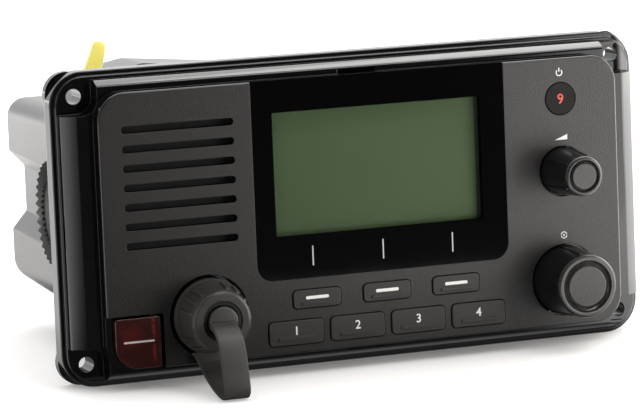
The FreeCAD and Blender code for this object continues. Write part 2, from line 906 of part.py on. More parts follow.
for number, (key_x, key_z) in enumerate(soft_keys, 1):
    keep("soft_key_%d" % number, key_cap(key_x, key_z, soft_key_width, soft_key_height))
for number, (key_x, key_z) in enumerate(function_keys, 1):
    keep("function_key_%d" % number, key_cap(key_x, key_z, function_key_width, function_key_height))

channel_front = panel_y - channel_proud
channel_cap = softened(rod(channel_key_x, channel_key_z, channel_key_radius, channel_front, inner_y),
                       channel_front, key_edge)
channel_lip = rod(channel_key_x, channel_key_z, channel_key_radius + key_gap + key_lip, inner_y, key_back_y)
keep("channel_key", join(channel_cap, channel_lip))

# one silicone mat behind the rectangular keys, and a pad of the same rubber behind the round one
mat = plate(min(x - width / 2 for x, z, width, height in key_sizes) - mat_margin,
            max(x + width / 2 for x, z, width, height in key_sizes) + mat_margin,
            -panel_half_z + side_wall + mat_foot_gap, soft_keys[0][1] + soft_key_height / 2 + mat_margin,
            mat_corner, mat_y, mat_back_y)
keep("keypad_mat", join(mat, *[plunger(x, z) for x, z, width, height in key_sizes]))
pad = rod(channel_key_x, channel_key_z, channel_key_radius + pad_margin, mat_y, mat_back_y)
keep("channel_key_pad", join(pad, plunger(channel_key_x, channel_key_z)))
switch_places = function_keys + soft_keys + [(channel_key_x, channel_key_z)]
keep("key_switches", Part.makeCompound([rod(x, z, switch_radius, switch_y, front_board_y)
                                        for x, z in switch_places]))

# ---------------------------------------------------------------- knobs, shafts and encoders
knob_foot = panel_y + knob_recess - knob_foot_gap


def flatted(x, z, gap, y0, y1):
    """A round bar with one flat side, facing +X: the shaft, or the room for it with a gap all round."""
    radius = shaft_radius + gap
    flat = radius - shaft_flat
    return rod(x, z, radius, y0, y1).cut(box(x + flat, x + radius + through, y0 - through, y1 + through,
                                            z - radius, z + radius))


def make_knob(x, z, base, top, height, first_rib):
    face = knob_foot - height
    taper = (base - top) / height
    edge = knob_edge * knob_edge_share
    blank = turned(x, z, [(knob_foot, 0), (knob_foot, base), (face + knob_edge, top + taper * knob_edge),
                          (face + edge, top - edge), (face, top - knob_edge), (face, 0)])
    dish = turned(x, z, [(face - play, top * dish_inner),
                         (face + dish_depth, top * dish_inner + dish_slope_inner),
                         (face + dish_depth, top * dish_outer - dish_slope_outer),
                         (face - play, top * dish_outer)])
    bore = flatted(x, z, 0, face + knob_face, knob_foot + through)
    hollow = tube(x, z, base - knob_wall - taper * knob_hollow, shaft_radius + knob_wall,
                  knob_foot - knob_hollow, knob_foot + through)
    ribs = []
    for i in range(knob_ribs):
        back = knob_foot - rib_from_foot
        front = face + rib_from_face
        outer = [(base + rib_height, back), (top + taper * rib_from_face + rib_height, front)]
        inner = [(top - weld, front), (base - knob_wall, back)]
        outline = [V(x + out, y, z) for out, y in outer + inner]
        rib = Part.Face(Part.makePolygon(outline + outline[:1])).extrude(V(0, 0, rib_width))
        rib.translate(V(0, 0, -rib_width / 2))
        rib.rotate(V(x, 0, z), V(0, 1, 0), -(first_rib + 360.0 / knob_ribs * i))
        ribs.append(rib)
    return less(join(blank, *ribs), dish, bore, hollow)


def make_encoder(x, z, rotor_front, rotor_back):
    """The encoder's case and bush, hollow for the shaft and the rotor."""
    cell = centred(x, z, encoder_width, encoder_width, encoder_corner, encoder_y, front_board_y)
    bush = rod(x, z, bush_radius, panel_y + knob_recess, encoder_y + weld)
    return less(join(cell, bush),
                rod(x, z, shaft_radius + shaft_clearance, panel_y, front_board_y - encoder_floor),
                rod(x, z, rotor_radius + play, rotor_front - play, rotor_back + play))


for name, (knob_x, knob_z, base, top, height, first_rib) in knobs.items():
    shaft_front = knob_foot - height + knob_face
    front = encoder_y + encoder_front_cover
    back = front_board_y - encoder_back_cover
    keep(name + "_knob", make_knob(knob_x, knob_z, base, top, height, first_rib))
    keep(name + "_shaft", flatted(knob_x, knob_z, 0, shaft_front, front_board_y - knob_push - shaft_end_gap))
    keep(name + "_rotor", less(rod(knob_x, knob_z, rotor_radius, front, back),
                               flatted(knob_x, knob_z, shaft_clearance, front - through, back + through)))
    keep(name + "_encoder", make_encoder(knob_x, knob_z, front, back))

# ---------------------------------------------------------------- loudspeaker
speaker_front = inner_y + mesh_thickness
magnet_front = speaker_front + speaker_depth - magnet_height
basket_floor = magnet_front - basket_wall
neck_y = basket_floor - cone_back_gap
keep("speaker_mesh", plate(slot_left - mesh_margin, slot_right + mesh_margin,
                           slot_low_z - mesh_margin, slot_top_z + mesh_margin,
                           mesh_margin, inner_y, speaker_front))
keep("speaker_basket", turned(speaker_x, speaker_z, [
    (speaker_front, speaker_radius), (speaker_front, speaker_radius - speaker_rim),
    (basket_floor, magnet_radius - magnet_lap), (basket_floor, 0),
    (magnet_front, 0), (magnet_front, magnet_radius),
    (speaker_front + speaker_flange, speaker_radius - basket_wall),
    (speaker_front + speaker_flange, speaker_radius)]))
cone_rim = speaker_radius - cone_from_rim
keep("speaker_cone", turned(speaker_x, speaker_z, [
    (speaker_front + cone_front_gap, cone_rim), (speaker_front + cone_front_gap, cone_rim - cone_lip),
    (neck_y, cone_neck), (neck_y - dome_rise, 0), (neck_y - dome_rise + cone_thickness, 0),
    (neck_y + cone_thickness, cone_neck)]))
keep("speaker_magnet", rod(speaker_x, speaker_z, magnet_radius, magnet_front, speaker_front + speaker_depth))


# ---------------------------------------------------------------- distress door, pin, spring, button
def make_door():
    """The leaf with two knuckles behind its right edge, thinned in front of the ears and the spring."""
    back = panel_y + door_thickness
    outline = [(door_left, door_bottom, door_corner), (door_left, door_top, door_small_corner),
               (door_right, door_top, door_small_corner), (door_right, door_bottom, door_small_corner)]
    leaf = softened(slab(outline, panel_y, back), panel_y, door_edge)
    for z0, z1 in ((door_bottom - through, low_knuckle),
                   (low_knuckle + knuckle_length, high_knuckle - knuckle_length),
                   (high_knuckle, door_top + through)):
        leaf = leaf.cut(box(hinge_x - relief_width, door_right + through,
                            hinge_y - door_relief, back + through, z0, z1))
    knuckles = [upright(hinge_x, hinge_y, knuckle_radius, z0, z0 + knuckle_length)
                for z0 in (low_knuckle, high_knuckle - knuckle_length)]
    bore = upright(hinge_x, hinge_y, door_pin_radius + pin_clearance, well_bottom, well_top)
    return join(leaf, *knuckles).cut(bore)


def make_door_spring():
    """Torsion spring between the knuckles: close turns round the pin, with a leg each way."""
    low = low_knuckle + knuckle_length + pin_clearance
    high = high_knuckle - knuckle_length - pin_clearance
    inner = door_pin_radius + 2 * pin_clearance
    outer = inner + spring_wire
    turns = max(3, round((high - low) / (2 * spring_wire)))
    pitch = (high - low) / turns
    edges = [Part.LineSegment(V(inner, 0, high), V(inner, 0, low)).toShape(),
             Part.LineSegment(V(inner, 0, low), V(outer, 0, low)).toShape(),
             Part.LineSegment(V(outer, 0, high), V(inner, 0, high)).toShape()]
    for i in range(turns):
        z0 = low + i * pitch
        edges.append(Part.Arc(V(outer, 0, z0), V(outer + pitch / 2, 0, z0 + pitch / 2),
                              V(outer, 0, z0 + pitch)).toShape())
    coil = Part.Face(Part.Wire(Part.__sortEdges__(edges))).revolve(V(0, 0, 0), V(0, 0, 1), 360)
    coil.translate(V(hinge_x, hinge_y, 0))
    reach = inner + spring_wire / 2
    floor_leg = rod(hinge_x + reach, low + spring_wire, spring_wire, hinge_y, well_floor)
    leg_y = panel_y + door_thickness + spring_wire
    leaf_leg = Part.makeCylinder(spring_wire, spring_leg, V(hinge_x - reach, leg_y, high - spring_wire),
                                 V(-1, 0, 0))
    return join(coil, floor_leg, leaf_leg)


keep("distress_door", make_door())
keep("door_pin", hinge_pin())
keep("door_spring", make_door_spring())

button_face = well_floor - distress_proud
button_back = well_floor - distress_travel - distress_rest
stem_end = well_floor + well_wall + distress_rest
switch_front = stem_end + distress_travel
switch_back = switch_front + distress_switch_height
button = rod(distress_x, distress_z, distress_radius, button_face, button_back)
keep("distress_button", join(softened(button, button_face, edge_round),
                             rod(distress_x, distress_z, distress_stem, button_back - weld, stem_end)))
keep("distress_switch", centred(distress_x, distress_z, distress_switch_size, distress_switch_size,
                                small_corner, switch_front, switch_back))
keep("distress_board", centred(distress_x + distress_board_x, distress_z + distress_board_z,
                               distress_board_width, distress_board_height, small_corner,
                               switch_back, switch_back + board_thickness))

# ---------------------------------------------------------------- microphone socket
seat_y = panel_y + socket_recess
nut_y = seat_y + socket_ring_depth
nut_back = nut_y + socket_nut
barrel_bore = barrel_radius - barrel_wall
barrel = tube(socket_x, socket_z, barrel_radius, barrel_bore, barrel_front, nut_back + barrel_tail)
keep("socket_barrel", join(barrel, tube(socket_x, socket_z, socket_flange_radius, barrel_bore,
                                        seat_y - socket_flange, seat_y)))
contacts = [around(socket_x, socket_z, contact_circle, 360.0 / contact_count * (i + 0.5))
            for i in range(contact_count)]
carrier = rod(socket_x, socket_z, barrel_bore, barrel_front + insert_depth, nut_back)
keep("contact_carrier", less(carrier, *[rod(x, z, contact_radius, barrel_front, nut_back + through)
                                        for x, z in contacts]))
keep("socket_contacts", Part.makeCompound([rod(x, z, contact_radius, barrel_front + contact_set_back,
                                               nut_back + contact_tail) for x, z in contacts]))
keep("socket_nut", less(hexagon(socket_x, socket_z, socket_nut_radius, 0, nut_y, nut_back),
                        rod(socket_x, socket_z, barrel_radius, nut_y - through, nut_back + through)))


# ---------------------------------------------------------------- the socket's cap: collar, plug, strap
def make_collar():
    slope = (collar_back_radius - collar_front_radius) / (collar_back - collar_front)
    shell = turned(socket_x, socket_z, [
        (collar_back, 0), (collar_back, collar_back_radius - collar_edge),
        (collar_back - collar_edge, collar_back_radius - collar_edge * slope),
        (collar_front + collar_nose, collar_front_radius + collar_nose * slope),
        (collar_front + collar_edge, collar_front_radius - play),
        (collar_front, collar_front_radius - collar_nose_drop), (collar_front, 0)])
    start = collar_front + ridge_from_front
    end = collar_back - ridge_from_back
    outline = [V(collar_front_radius - weld, start, 0),
               V(collar_front_radius + slope * ridge_from_front + ridge_height, start + ridge_lead, 0),
               V(collar_back_radius - slope * ridge_from_back + ridge_height, end - ridge_lead, 0),
               V(collar_back_radius - 2 * weld, end, 0)]
    ridges = []
    for i in range(collar_groups):
        for step in (-1, 0, 1):
            turn = group_first + 360.0 / collar_groups * i + step * ridge_step
            ridge = Part.Face(Part.makePolygon(outline + outline[:1])).extrude(V(0, 0, ridge_width))
            ridge.translate(V(0, 0, -ridge_width / 2))
            ridge.rotate(V(0, 0, 0), V(0, 1, 0), -turn)
            ridge.translate(V(socket_x, 0, socket_z))
            ridges.append(ridge)
    return less(join(shell, *ridges),
                rod(socket_x, socket_z, barrel_radius + play, lip_y, collar_back + through),
                rod(socket_x, socket_z, collar_mouth, collar_front - through, collar_back))


keep("cap_collar", make_collar())
plug = join(rod(socket_x, socket_z, barrel_radius - play, lip_y + play, plug_back),
            rod(socket_x, socket_z, collar_mouth - plug_neck_gap,
                collar_front + plug_set_back, lip_y + weld))
keep("cap_plug", less(plug, rod(socket_x, socket_z, swivel_radius + play,
                                collar_front - through, collar_front + swivel_depth + play)))
keep("cap_seal", rod(socket_x, socket_z, barrel_radius - 2 * play,
                     plug_back, plug_back + cap_seal_thickness))


def strip(points, thickness, x0, x1):
    """A flat strap: a smooth (y, z) centre line given thickness, drawn out along X."""
    curve = Part.BSplineCurve()
    curve.interpolate([V(x0, y, z) for y, z in points])
    first, last = curve.FirstParameter, curve.LastParameter
    sides = ([], [])
    for i in range(strap_bits + 1):
        u = first + (last - first) * i / strap_bits
        here = curve.value(u)
        along = curve.tangent(u)[0]
        out = V(0, -along.z, along.y)
        sides[0].append(here + out * (thickness / 2))
        sides[1].append(here - out * (thickness / 2))
    outer, inner = Part.BSplineCurve(), Part.BSplineCurve()
    outer.interpolate(sides[0])
    inner.interpolate(sides[1])
    edges = [outer.toShape(), Part.LineSegment(sides[0][-1], sides[1][-1]).toShape(), inner.toShape(),
             Part.LineSegment(sides[1][0], sides[0][0]).toShape()]
    return Part.Face(Part.Wire(Part.__sortEdges__(edges))).extrude(V(x1 - x0, 0, 0))


ring_back = panel_y - strap_ring_gap
ring_front = ring_back - strap_ring_thickness
fold_y = collar_front - strap_reach
fold_z = -flange_half_z - strap_below
strap_drop = socket_z - fold_z
strap_run = ring_front - fold_y
# the strap's middle line, as shares of the reach and the drop: down to the fold,
to_fold = [(0.038, -0.027), (0.340, 0.043), (0.623, 0.213), (0.811, 0.457), (0.915, 0.660), (1.0, 0.872)]
# and as shares of the run back to the ring and of the drop
from_fold = [(0.035, 0.032), (0.126, 0.0), (0.293, 0.021), (0.545, 0.090),
             (0.828, 0.223), (0.965, 0.340), (1.035, 0.495)]
strap_route = [(collar_front - a * strap_reach, socket_z - b * strap_drop) for a, b in to_fold]
strap_route += [(fold_y + a * strap_run, fold_z + b * strap_drop) for a, b in from_fold]
strap_x = socket_x - strap_aside
strap = strip(strap_route, strap_thickness, strap_x - strap_width / 2, strap_x + strap_width / 2)
swivel = rod(socket_x, socket_z, swivel_radius, collar_front - swivel_proud, collar_front + swivel_depth)
keep("cap_strap", less(join(strap, swivel), rod(socket_x, socket_z, strap_ring_radius + strap_clearance,
                                                 ring_front - strap_clearance, ring_back + 2 * through)))
keep("strap_ring", tube(socket_x, socket_z, strap_ring_radius, barrel_radius + play, ring_front, ring_back))


# ---------------------------------------------------------------- rear case
def bracket_boss():
    """Toothed ring on the right-hand side, which holds a tilt bracket at a chosen angle."""
    spokes = 2 * bracket_teeth
    rings = []
    for radius in (bracket_radius, bracket_inner):
        tips, base = [], []
        for k in range(spokes):
            angle = math.pi * k / bracket_teeth
            y = bracket_y + radius * math.cos(angle)
            z = radius * math.sin(angle)
            tips.append(V(bracket_root + (tooth_height if k % 2 else 0.0), y, z))
            base.append(V(bracket_root - tooth_base, y, z))
        rings += [tips, base]
    out, out_base, inside, in_base = rings
    faces = []
    for k in range(spokes):
        n = (k + 1) % spokes
        for loop in ((out[k], out[n], inside[n]),
                     (out[k], inside[n], inside[k]),
                     (out[k], out_base[k], out_base[n], out[n]),
                     (inside[k], inside[n], in_base[n], in_base[k]),
                     (out_base[k], in_base[k], in_base[n], out_base[n])):
            faces.append(Part.Face(Part.makePolygon(list(loop) + [loop[0]])))
    teeth = Part.makeSolid(Part.makeShell(faces))
    return join(sideways(1, bracket_root, bracket_y, bracket_radius, bracket_depth), teeth)


def heat_sink():
    """Base plate, the fins that stand on it, and a roof over the cable side."""
    foot = body_outline(case_rear)[8][1]
    side = block_half - fin_from_side
    top = block_top - fin_from_top
    crest_x = bay_right + hood_crest_from_bay
    right_x = bay_right + hood_right_from_bay
    left_z = block_top - hood_left_drop
    crest_z = block_top - hood_crest_drop
    right_z = block_top - hood_right_drop
    profile = [(bay_right, foot, shoulder_round), (bay_right, left_z, hood_corner),
               (crest_x, crest_z, hood_corner), (right_x, right_z, 0), (right_x, top, 0),
               (side, top, block_round), (side, lobe_bottom, shoulder_round),
               (foot_half - fin_from_foot, foot, block_round)]
    rear_end = case_rear + fin_length
    envelope = slab(profile, case_rear, rear_end)
    solids = [slab(profile, case_rear - weld, case_rear + fin_base)]
    x = bay_right
    while x < side - fin_thickness:
        fin = box(x, x + fin_thickness, case_rear, rear_end, -flange_height, flange_height)
        solids.append(fin.common(envelope))
        x += fin_pitch
    solids.append(slab([(bay_right, left_z - hood_thickness, 0), (bay_right, left_z, hood_corner),
                        (crest_x, crest_z, hood_corner), (right_x, right_z, 0),
                        (right_x, right_z - hood_thickness, 0), (crest_x, crest_z - hood_thickness, 0)],
                       case_rear, rear_end))
    return solids


def make_rear_housing():
    # the connector bay keeps its own walls where the hollow would break into it
    bay_shell = box(bay_left - bay_wall_left, bay_right + bay_wall_right, bay_floor - case_wall, case_rear,
                    -flange_height, flange_height)
    hollow = body(case_front - through, case_rear - rear_wall, case_wall).cut(bay_shell)
    case = body(case_front, case_rear).cut(hollow)
    port_radius = screw_head_radius + screw_port_gap
    within = body(case_front, case_rear - weld, weld)
    towers = [rod(x, z, port_radius + screw_port_wall, case_front, case_rear - weld).common(within)
              for x, z in case_screws]
    boss = bracket_boss()
    insert_bosses = [sideways(side, bracket_root, bracket_y, insert_radius + insert_boss_wall,
                              insert_boss_depth - tooth_height) for side in (-1, 1)]
    case = join(case, *towers, boss, mirrored(boss), *insert_bosses, *heat_sink())

    foot = body_outline(case_rear)[8][1]
    cuts = [plate(bay_left, bay_right, foot + case_wall, flange_height, bay_corner,
                  bay_floor, case_rear + fin_length + through)]
    for z, neck in ((antenna_z, antenna_neck), (network_z, network_neck), (gland_z, gland_neck)):
        cuts.append(rod(connector_x, z, neck, bay_floor - case_wall - through, bay_floor + through))
    for x, z in case_screws:
        cuts.append(rod(x, z, port_radius, case_front + screw_floor, case_rear + through))
        cuts.append(rod(x, z, screw_radius + screw_hole_gap, case_front - through,
                        case_front + screw_floor + through))
    for side in (-1, 1):
        cuts.append(sideways(side, bracket_face + through, bracket_y, insert_radius,
                             insert_length + tooth_height + insert_sunk + through))
    return less(case, *cuts).removeSplitter()


keep("rear_housing", make_rear_housing())

insert_face = bracket_root - insert_sunk
keep("bracket_inserts", Part.makeCompound([
    less(sideways(side, insert_face, bracket_y, insert_radius, insert_length),
         sideways(side, insert_face + through, bracket_y, insert_bore, insert_length + 2 * through))
    for side in (-1, 1)]))

# ---------------------------------------------------------------- seals and screws of the case
seal = less(slab(body_outline(flange_back, seal_inset), skirt_y, case_front),
            slab(body_outline(flange_back, seal_inner), skirt_y - through, case_front + through),
            *[rod(x, z, screw_radius + screw_hole_gap, skirt_y - through, case_front + through)
              for x, z in case_screws])
keep("case_seal", seal)

foam = centred(0, 0, flange_width - 2 * foam_inset, flange_height - 2 * foam_inset,
               flange_corner - foam_inset, flange_back, 0)
keep("mounting_gasket", less(foam,
                             slab(body_outline(flange_back, -foam_gap), flange_back - through, through),
                             *[rod(x, z, boss_radius + foam_boss_gap, flange_back - through, through)
                               for x, z in mount_holes]))


def make_screw(x, z):
    """A case screw with a cross recess in its head."""
    head = case_front + screw_floor
    end = head + screw_head_height
    cross = join(centred(x, z, cross_length, cross_width, 0, end - cross_depth, end + through),
                 centred(x, z, cross_width, cross_length, 0, end - cross_depth, end + through))
    shank = rod(x, z, screw_radius, skirt_y - screw_bite + screw_tip_gap, head + weld)
    return join(shank, rod(x, z, screw_head_radius, head, end)).cut(cross)


keep("case_screws", Part.makeCompound([make_screw(x, z) for x, z in case_screws]))

# ---------------------------------------------------------------- boards inside the case
board_left = -(block_half - main_board_from_block)
board_front = case_front + main_board_from_front
board_rear = case_rear - main_board_from_rear
board_top = main_board_z + board_thickness
keep("main_board", box(board_left, -board_left, board_front, board_rear, main_board_z, board_top))

can_left = board_left + shield_from_left
can_right = can_left + shield_width
can_front = board_front + shield_from_front
can_rear = board_rear - shield_from_rear
can = box(can_left, can_right, can_front, can_rear, board_top, board_top + shield_height)
keep("rf_shield", less(can, box(can_left + shield_wall, can_right - shield_wall, can_front + shield_wall,
                                can_rear - shield_wall, board_top - through,
                                board_top + shield_height - shield_wall)))

amplifier_right = -board_left - amplifier_from_right
amplifier_back = case_rear - rear_wall
amplifier_foot = main_board_z + amplifier_above_board
keep("power_amplifier", box(amplifier_right - amplifier_width, amplifier_right,
                            amplifier_back - amplifier_depth, amplifier_back,
                            amplifier_foot, amplifier_foot + amplifier_height))


def make_ribbon():
    """A flat cable between the two boards, with a connector at each end."""
    left = board_left + ribbon_from_left
    right = left + ribbon_width
    front = front_board_y + board_thickness
    rear = board_front + ribbon_on_board + ribbon_end
    foot = board_top + ribbon_above_board
    top = board_top + ribbon_end_height
    return join(box(left, right, front, rear, foot, foot + ribbon_thickness),
                box(left, right, front, front + ribbon_end, board_top, top),
                box(left, right, board_front + ribbon_on_board, rear, board_top, top))


keep("ribbon_cable", make_ribbon())


# ---------------------------------------------------------------- rear connectors
def through_wall(z, radius):
    """The part of a connector that passes through the bay's floor."""
    return rod(connector_x, z, radius, bay_floor - neck_length, bay_floor + weld)


jack_end = bay_floor + antenna_length
neck_end = bay_floor - neck_length
jack = join(rod(connector_x, antenna_z, antenna_flange_radius, bay_floor, bay_floor + antenna_flange),
            rod(connector_x, antenna_z, antenna_radius, bay_floor, jack_end),
            through_wall(antenna_z, antenna_neck))
keep("antenna_socket", less(jack, rod(connector_x, antenna_z, antenna_bore,
                                      neck_end - through, jack_end + through)))
keep("antenna_insulator", tube(connector_x, antenna_z, antenna_bore, antenna_contact_radius,
                               neck_end, jack_end - antenna_set_back))
keep("antenna_contact", tube(connector_x, antenna_z, antenna_contact_radius, antenna_contact_bore,
                             neck_end - through, jack_end - antenna_set_back))


def make_antenna_cap():
    """A thin cup over the antenna socket with a long pull tab."""
    radius = antenna_radius + play + antenna_cap_wall
    front = bay_floor + antenna_flange + antenna_cap_lift
    end = jack_end + antenna_cap_head + antenna_cap_wall
    root = radius - tab_lap
    tip = radius + tab_length
    tip_round = tab_tip / 2 - tab_tip_flat
    tab = slab([(-tab_width / 2, root, 0), (-tab_tip / 2, tip, tip_round), (tab_tip / 2, tip, tip_round),
                (tab_width / 2, root, 0)], end - tab_thickness, end)
    tab.rotate(V(0, 0, 0), V(0, 1, 0), tab_angle)
    tab.translate(V(connector_x, 0, antenna_z))
    return less(join(rod(connector_x, antenna_z, radius, front, end), tab),
                rod(connector_x, antenna_z, antenna_radius + play, front - through, end - antenna_cap_wall))


keep("antenna_cap", make_antenna_cap())


def make_network_socket():
    """A round data socket with pins, on a wide base."""
    end = bay_floor + network_length
    shell = join(rod(connector_x, network_z, network_base_radius, bay_floor, bay_floor + network_base),
                 rod(connector_x, network_z, network_radius, bay_floor, end),
                 through_wall(network_z, network_neck))
    shell = less(shell, rod(connector_x, network_z, network_radius - network_wall,
                            bay_floor + network_floor, end + through))
    pins = []
    for i in range(network_pins):
        x, z = around(connector_x, network_z, network_pin_circle, 360.0 / network_pins * i)
        pins.append(rod(x, z, network_pin_radius,
                        bay_floor + network_floor - weld, end - network_pin_set_back))
    return join(shell, *pins)


keep("network_socket", make_network_socket())


def make_cable_gland():
    """A six-sided body with a tapering nose that grips the power cable."""
    end = bay_floor + gland_length
    nut_end = bay_floor + gland_nut
    nose = turned(connector_x, gland_z, [(nut_end - weld, 0), (nut_end - weld, gland_radius),
                                         (end - gland_shoulder, gland_radius - gland_shoulder_step),
                                         (end, gland_radius - gland_nose_step), (end, 0)])
    nut = hexagon(connector_x, gland_z, gland_nut_radius, small_corner, bay_floor, nut_end)
    return less(join(nut, nose, through_wall(gland_z, gland_neck)),
                rod(connector_x, gland_z, gland_bore, neck_end - through, end + through))


keep("cable_gland", make_cable_gland())
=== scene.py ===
"""A fixed-mount marine radio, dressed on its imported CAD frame, on a white table."""
import math

import bmesh
import bpy
from mathutils import Matrix, Vector


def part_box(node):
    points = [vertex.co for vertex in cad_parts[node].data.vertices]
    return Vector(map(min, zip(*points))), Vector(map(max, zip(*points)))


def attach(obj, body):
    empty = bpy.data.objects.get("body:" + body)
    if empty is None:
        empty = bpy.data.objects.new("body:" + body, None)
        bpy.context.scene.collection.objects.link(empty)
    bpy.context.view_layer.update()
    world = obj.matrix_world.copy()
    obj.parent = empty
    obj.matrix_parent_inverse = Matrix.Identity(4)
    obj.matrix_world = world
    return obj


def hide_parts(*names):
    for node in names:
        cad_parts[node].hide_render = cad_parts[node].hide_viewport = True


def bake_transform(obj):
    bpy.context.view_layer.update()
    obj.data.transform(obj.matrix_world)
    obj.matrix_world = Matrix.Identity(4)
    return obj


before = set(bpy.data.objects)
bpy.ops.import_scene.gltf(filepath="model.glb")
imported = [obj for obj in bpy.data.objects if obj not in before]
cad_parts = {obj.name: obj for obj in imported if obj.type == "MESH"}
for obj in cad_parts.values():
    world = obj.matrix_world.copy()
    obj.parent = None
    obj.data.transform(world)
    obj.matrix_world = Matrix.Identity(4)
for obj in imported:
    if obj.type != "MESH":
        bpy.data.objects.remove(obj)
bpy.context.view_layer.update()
mm = 0.001

# ---------------------------------------------------------------- table, lamps and camera
# A white table under two softboxes overhead, with others in front, on the left and in three places on the
# right. Bright cards and black cloth lie round the radio, where only its gloss shows them, and a black
# patch of painted shade lies under the case for its gloss. The table's white is dimmed in a painted shadow
# where the flange stands. The radio leans back on the lower edges of its flange and case.

scene = bpy.context.scene
scene.view_settings.view_transform = "Standard"


class Shade:
    """A socket in a node tree: arithmetic on it adds Math nodes, and node() adds any other node."""

    def __init__(self, tree, socket=None):
        self.tree = tree
        self.socket = socket

    def node(self, kind, settings, inputs, out=0):
        """A new node, with its settings and the values or links of its sockets, seen from one output."""
        new = self.tree.nodes.new(kind)
        for key, value in settings.items():
            setattr(new, key, value)
        for key, value in inputs.items():
            if isinstance(value, Shade):
                self.tree.links.new(value.socket, new.inputs[key])
            else:
                new.inputs[key].default_value = value
        return Shade(self.tree, new.outputs[out] if new.outputs else None)

    def maths(self, operation, *values):
        return self.node("ShaderNodeMath", {"operation": operation}, dict(enumerate(values)))

    def __add__(self, other):
        return self.maths("ADD", self, other)

    __radd__ = __add__

    def __sub__(self, other):
        return self.maths("SUBTRACT", self, other)

    def __rsub__(self, other):
        return self.maths("SUBTRACT", other, self)

    def __mul__(self, other):
        return self.maths("MULTIPLY", self, other)

    __rmul__ = __mul__

    def __truediv__(self, other):
        return self.maths("DIVIDE", self, other)

    def __abs__(self):
        return self.maths("ABSOLUTE", self)

    def above(self, limit, softness):
        """0 below limit and 1 above it, with an edge of that softness."""
        edges = {"Value": self, "From Min": limit - softness, "From Max": limit + softness}
        return self.node("ShaderNodeMapRange", {"interpolation_type": "SMOOTHSTEP"}, edges)

    def near(self, middle, reach, softness):
        """1 within that reach of the middle and 0 beyond it, with edges of that softness."""
        return 1 - abs(self - middle).above(reach, softness)

    def most(self, other):
        """The greater of the two."""
        return self.maths("MAXIMUM", self, other)

    def least(self, other):
        """The lesser of the two."""
        return self.maths("MINIMUM", self, other)

    def mix(self, first, second):
        """A colour that goes from first to second as this mask goes from 0 to 1."""
        first, second = ((*c, 1) if isinstance(c, tuple) else c for c in (first, second))
        return self.node("ShaderNodeMix", {"data_type": "RGBA"}, {0: self, 6: first, 7: second}, 2)

    def parts(self):
        """The x, y and z of a place."""
        return [self.node("ShaderNodeSeparateXYZ", {}, {0: self}, axis) for axis in "XYZ"]


camera_turn = math.radians(-20.58)
camera_lift = math.radians(7.914)
camera_roll = math.radians(-2.311)
camera_place = Vector((-367.44, -960.18, 141.6)) * mm
camera_data = bpy.data.cameras.new("camera")
camera_data.sensor_width = 36
camera_data.lens = 212.27
camera_data.clip_start = 0.05
camera = bpy.data.objects.new("camera", camera_data)
scene.collection.objects.link(camera)
camera.matrix_world = (Matrix.Translation(camera_place)
                       @ Matrix.Rotation(camera_turn, 4, "Z")
                       @ Matrix.Rotation(math.pi / 2 - camera_lift, 4, "X")
                       @ Matrix.Rotation(camera_roll, 4, "Z"))
scene.camera = camera

flange_foot = Vector((0, -6.5 * mm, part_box("front_housing")[0].z))   # the rim's lower edge
case_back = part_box("rear_housing")[1].y
case_foot = -37.5 * mm         # height of the case's lower back edge
table_slope = (case_foot - flange_foot.z) / (case_back - flange_foot.y)
table_gap = 0.15 * mm
table_reach = 3.0
table_corners = [(x, y, flange_foot.z + table_slope * (y - flange_foot.y) - table_gap)
                 for x, y in ((-table_reach, -table_reach), (table_reach, -table_reach),
                              (table_reach, table_reach), (-table_reach, table_reach))]
table_mesh = bpy.data.meshes.new("table")
table_mesh.from_pydata(table_corners, [], [(0, 1, 2, 3)])
table = bpy.data.objects.new("table", table_mesh)
scene.collection.objects.link(table)

# Where each edge lies and how soft it is, or the middle, reach and softness of a strip.
right_card_slant = 0.445                    # the right-hand cards' edges lean to the left, going back
right_card_edge = (54 * mm, 20 * mm)
far_card_edge = (150 * mm, 50 * mm)
left_card_corner = 80 * mm                  # the left card fans out from here
left_card_slant = (1.3, 0.45)
left_card_edge = (86 * mm, 10 * mm)
near_card_x = (108 * mm, 96 * mm, 10 * mm)
near_card_y = (-158 * mm, 62 * mm, 14 * mm)
front_edge = (2 * mm, 6 * mm)               # the cloth in front starts here
back_edge = (0, 4 * mm)
painted_shadow_x = (0, 76 * mm, 16 * mm)           # the shadow where the flange stands on the table
painted_shadow_y = (-4 * mm, 14 * mm, 12 * mm)
painted_shade_x = (0, 86 * mm, 8 * mm)            # painted shade under the leaning case, seen only by gloss
painted_shade_y = (40 * mm, 62 * mm, 10 * mm)

table_white = (0.86, 0.85, 0.84)
cloth_and_shade_black = (0.025, 0.025, 0.028)
table_light = 0.36                          # added to the lamps' light, so that the table is white
painted_shadow_dimming = 0.24
bare_light = 0.1                            # what gloss finds on the bare table, and on each card
right_card_light = 1.7
far_card_light = 0.9
left_card_light = 0.9
left_card_dimming = 0.7                     # of the part of it that lies behind the flange
near_card_light = 2.6
painted_shade_light = 0.2
cloth_light = 0.02

table_paint = bpy.data.materials.new("table_paint")
table_paint.use_nodes = True
table_tree = Shade(table_paint.node_tree)
table_paint.node_tree.nodes.clear()
seen = table_tree.node("ShaderNodeLightPath", {}, {}, "Is Camera Ray")
mirrored = table_tree.node("ShaderNodeLightPath", {}, {}, "Is Glossy Ray")
table_x, table_y, _ = table_tree.node("ShaderNodeTexCoord", {}, {}, "Object").parts()
across_right = table_x + table_y * right_card_slant
right_card = across_right.above(*right_card_edge)
far_card = across_right.above(*far_card_edge)
behind = table_y.above(*back_edge)
left_of_corner = ((table_x + left_card_corner) / table_y).above(*left_card_slant)
left_card = left_of_corner.most(behind) * (table_x * -1).above(*left_card_edge)
near_card = table_x.near(*near_card_x) * table_y.near(*near_card_y)
in_front = (table_y * -1).above(*front_edge) * (1 - right_card) * (1 - left_card) * (1 - near_card)
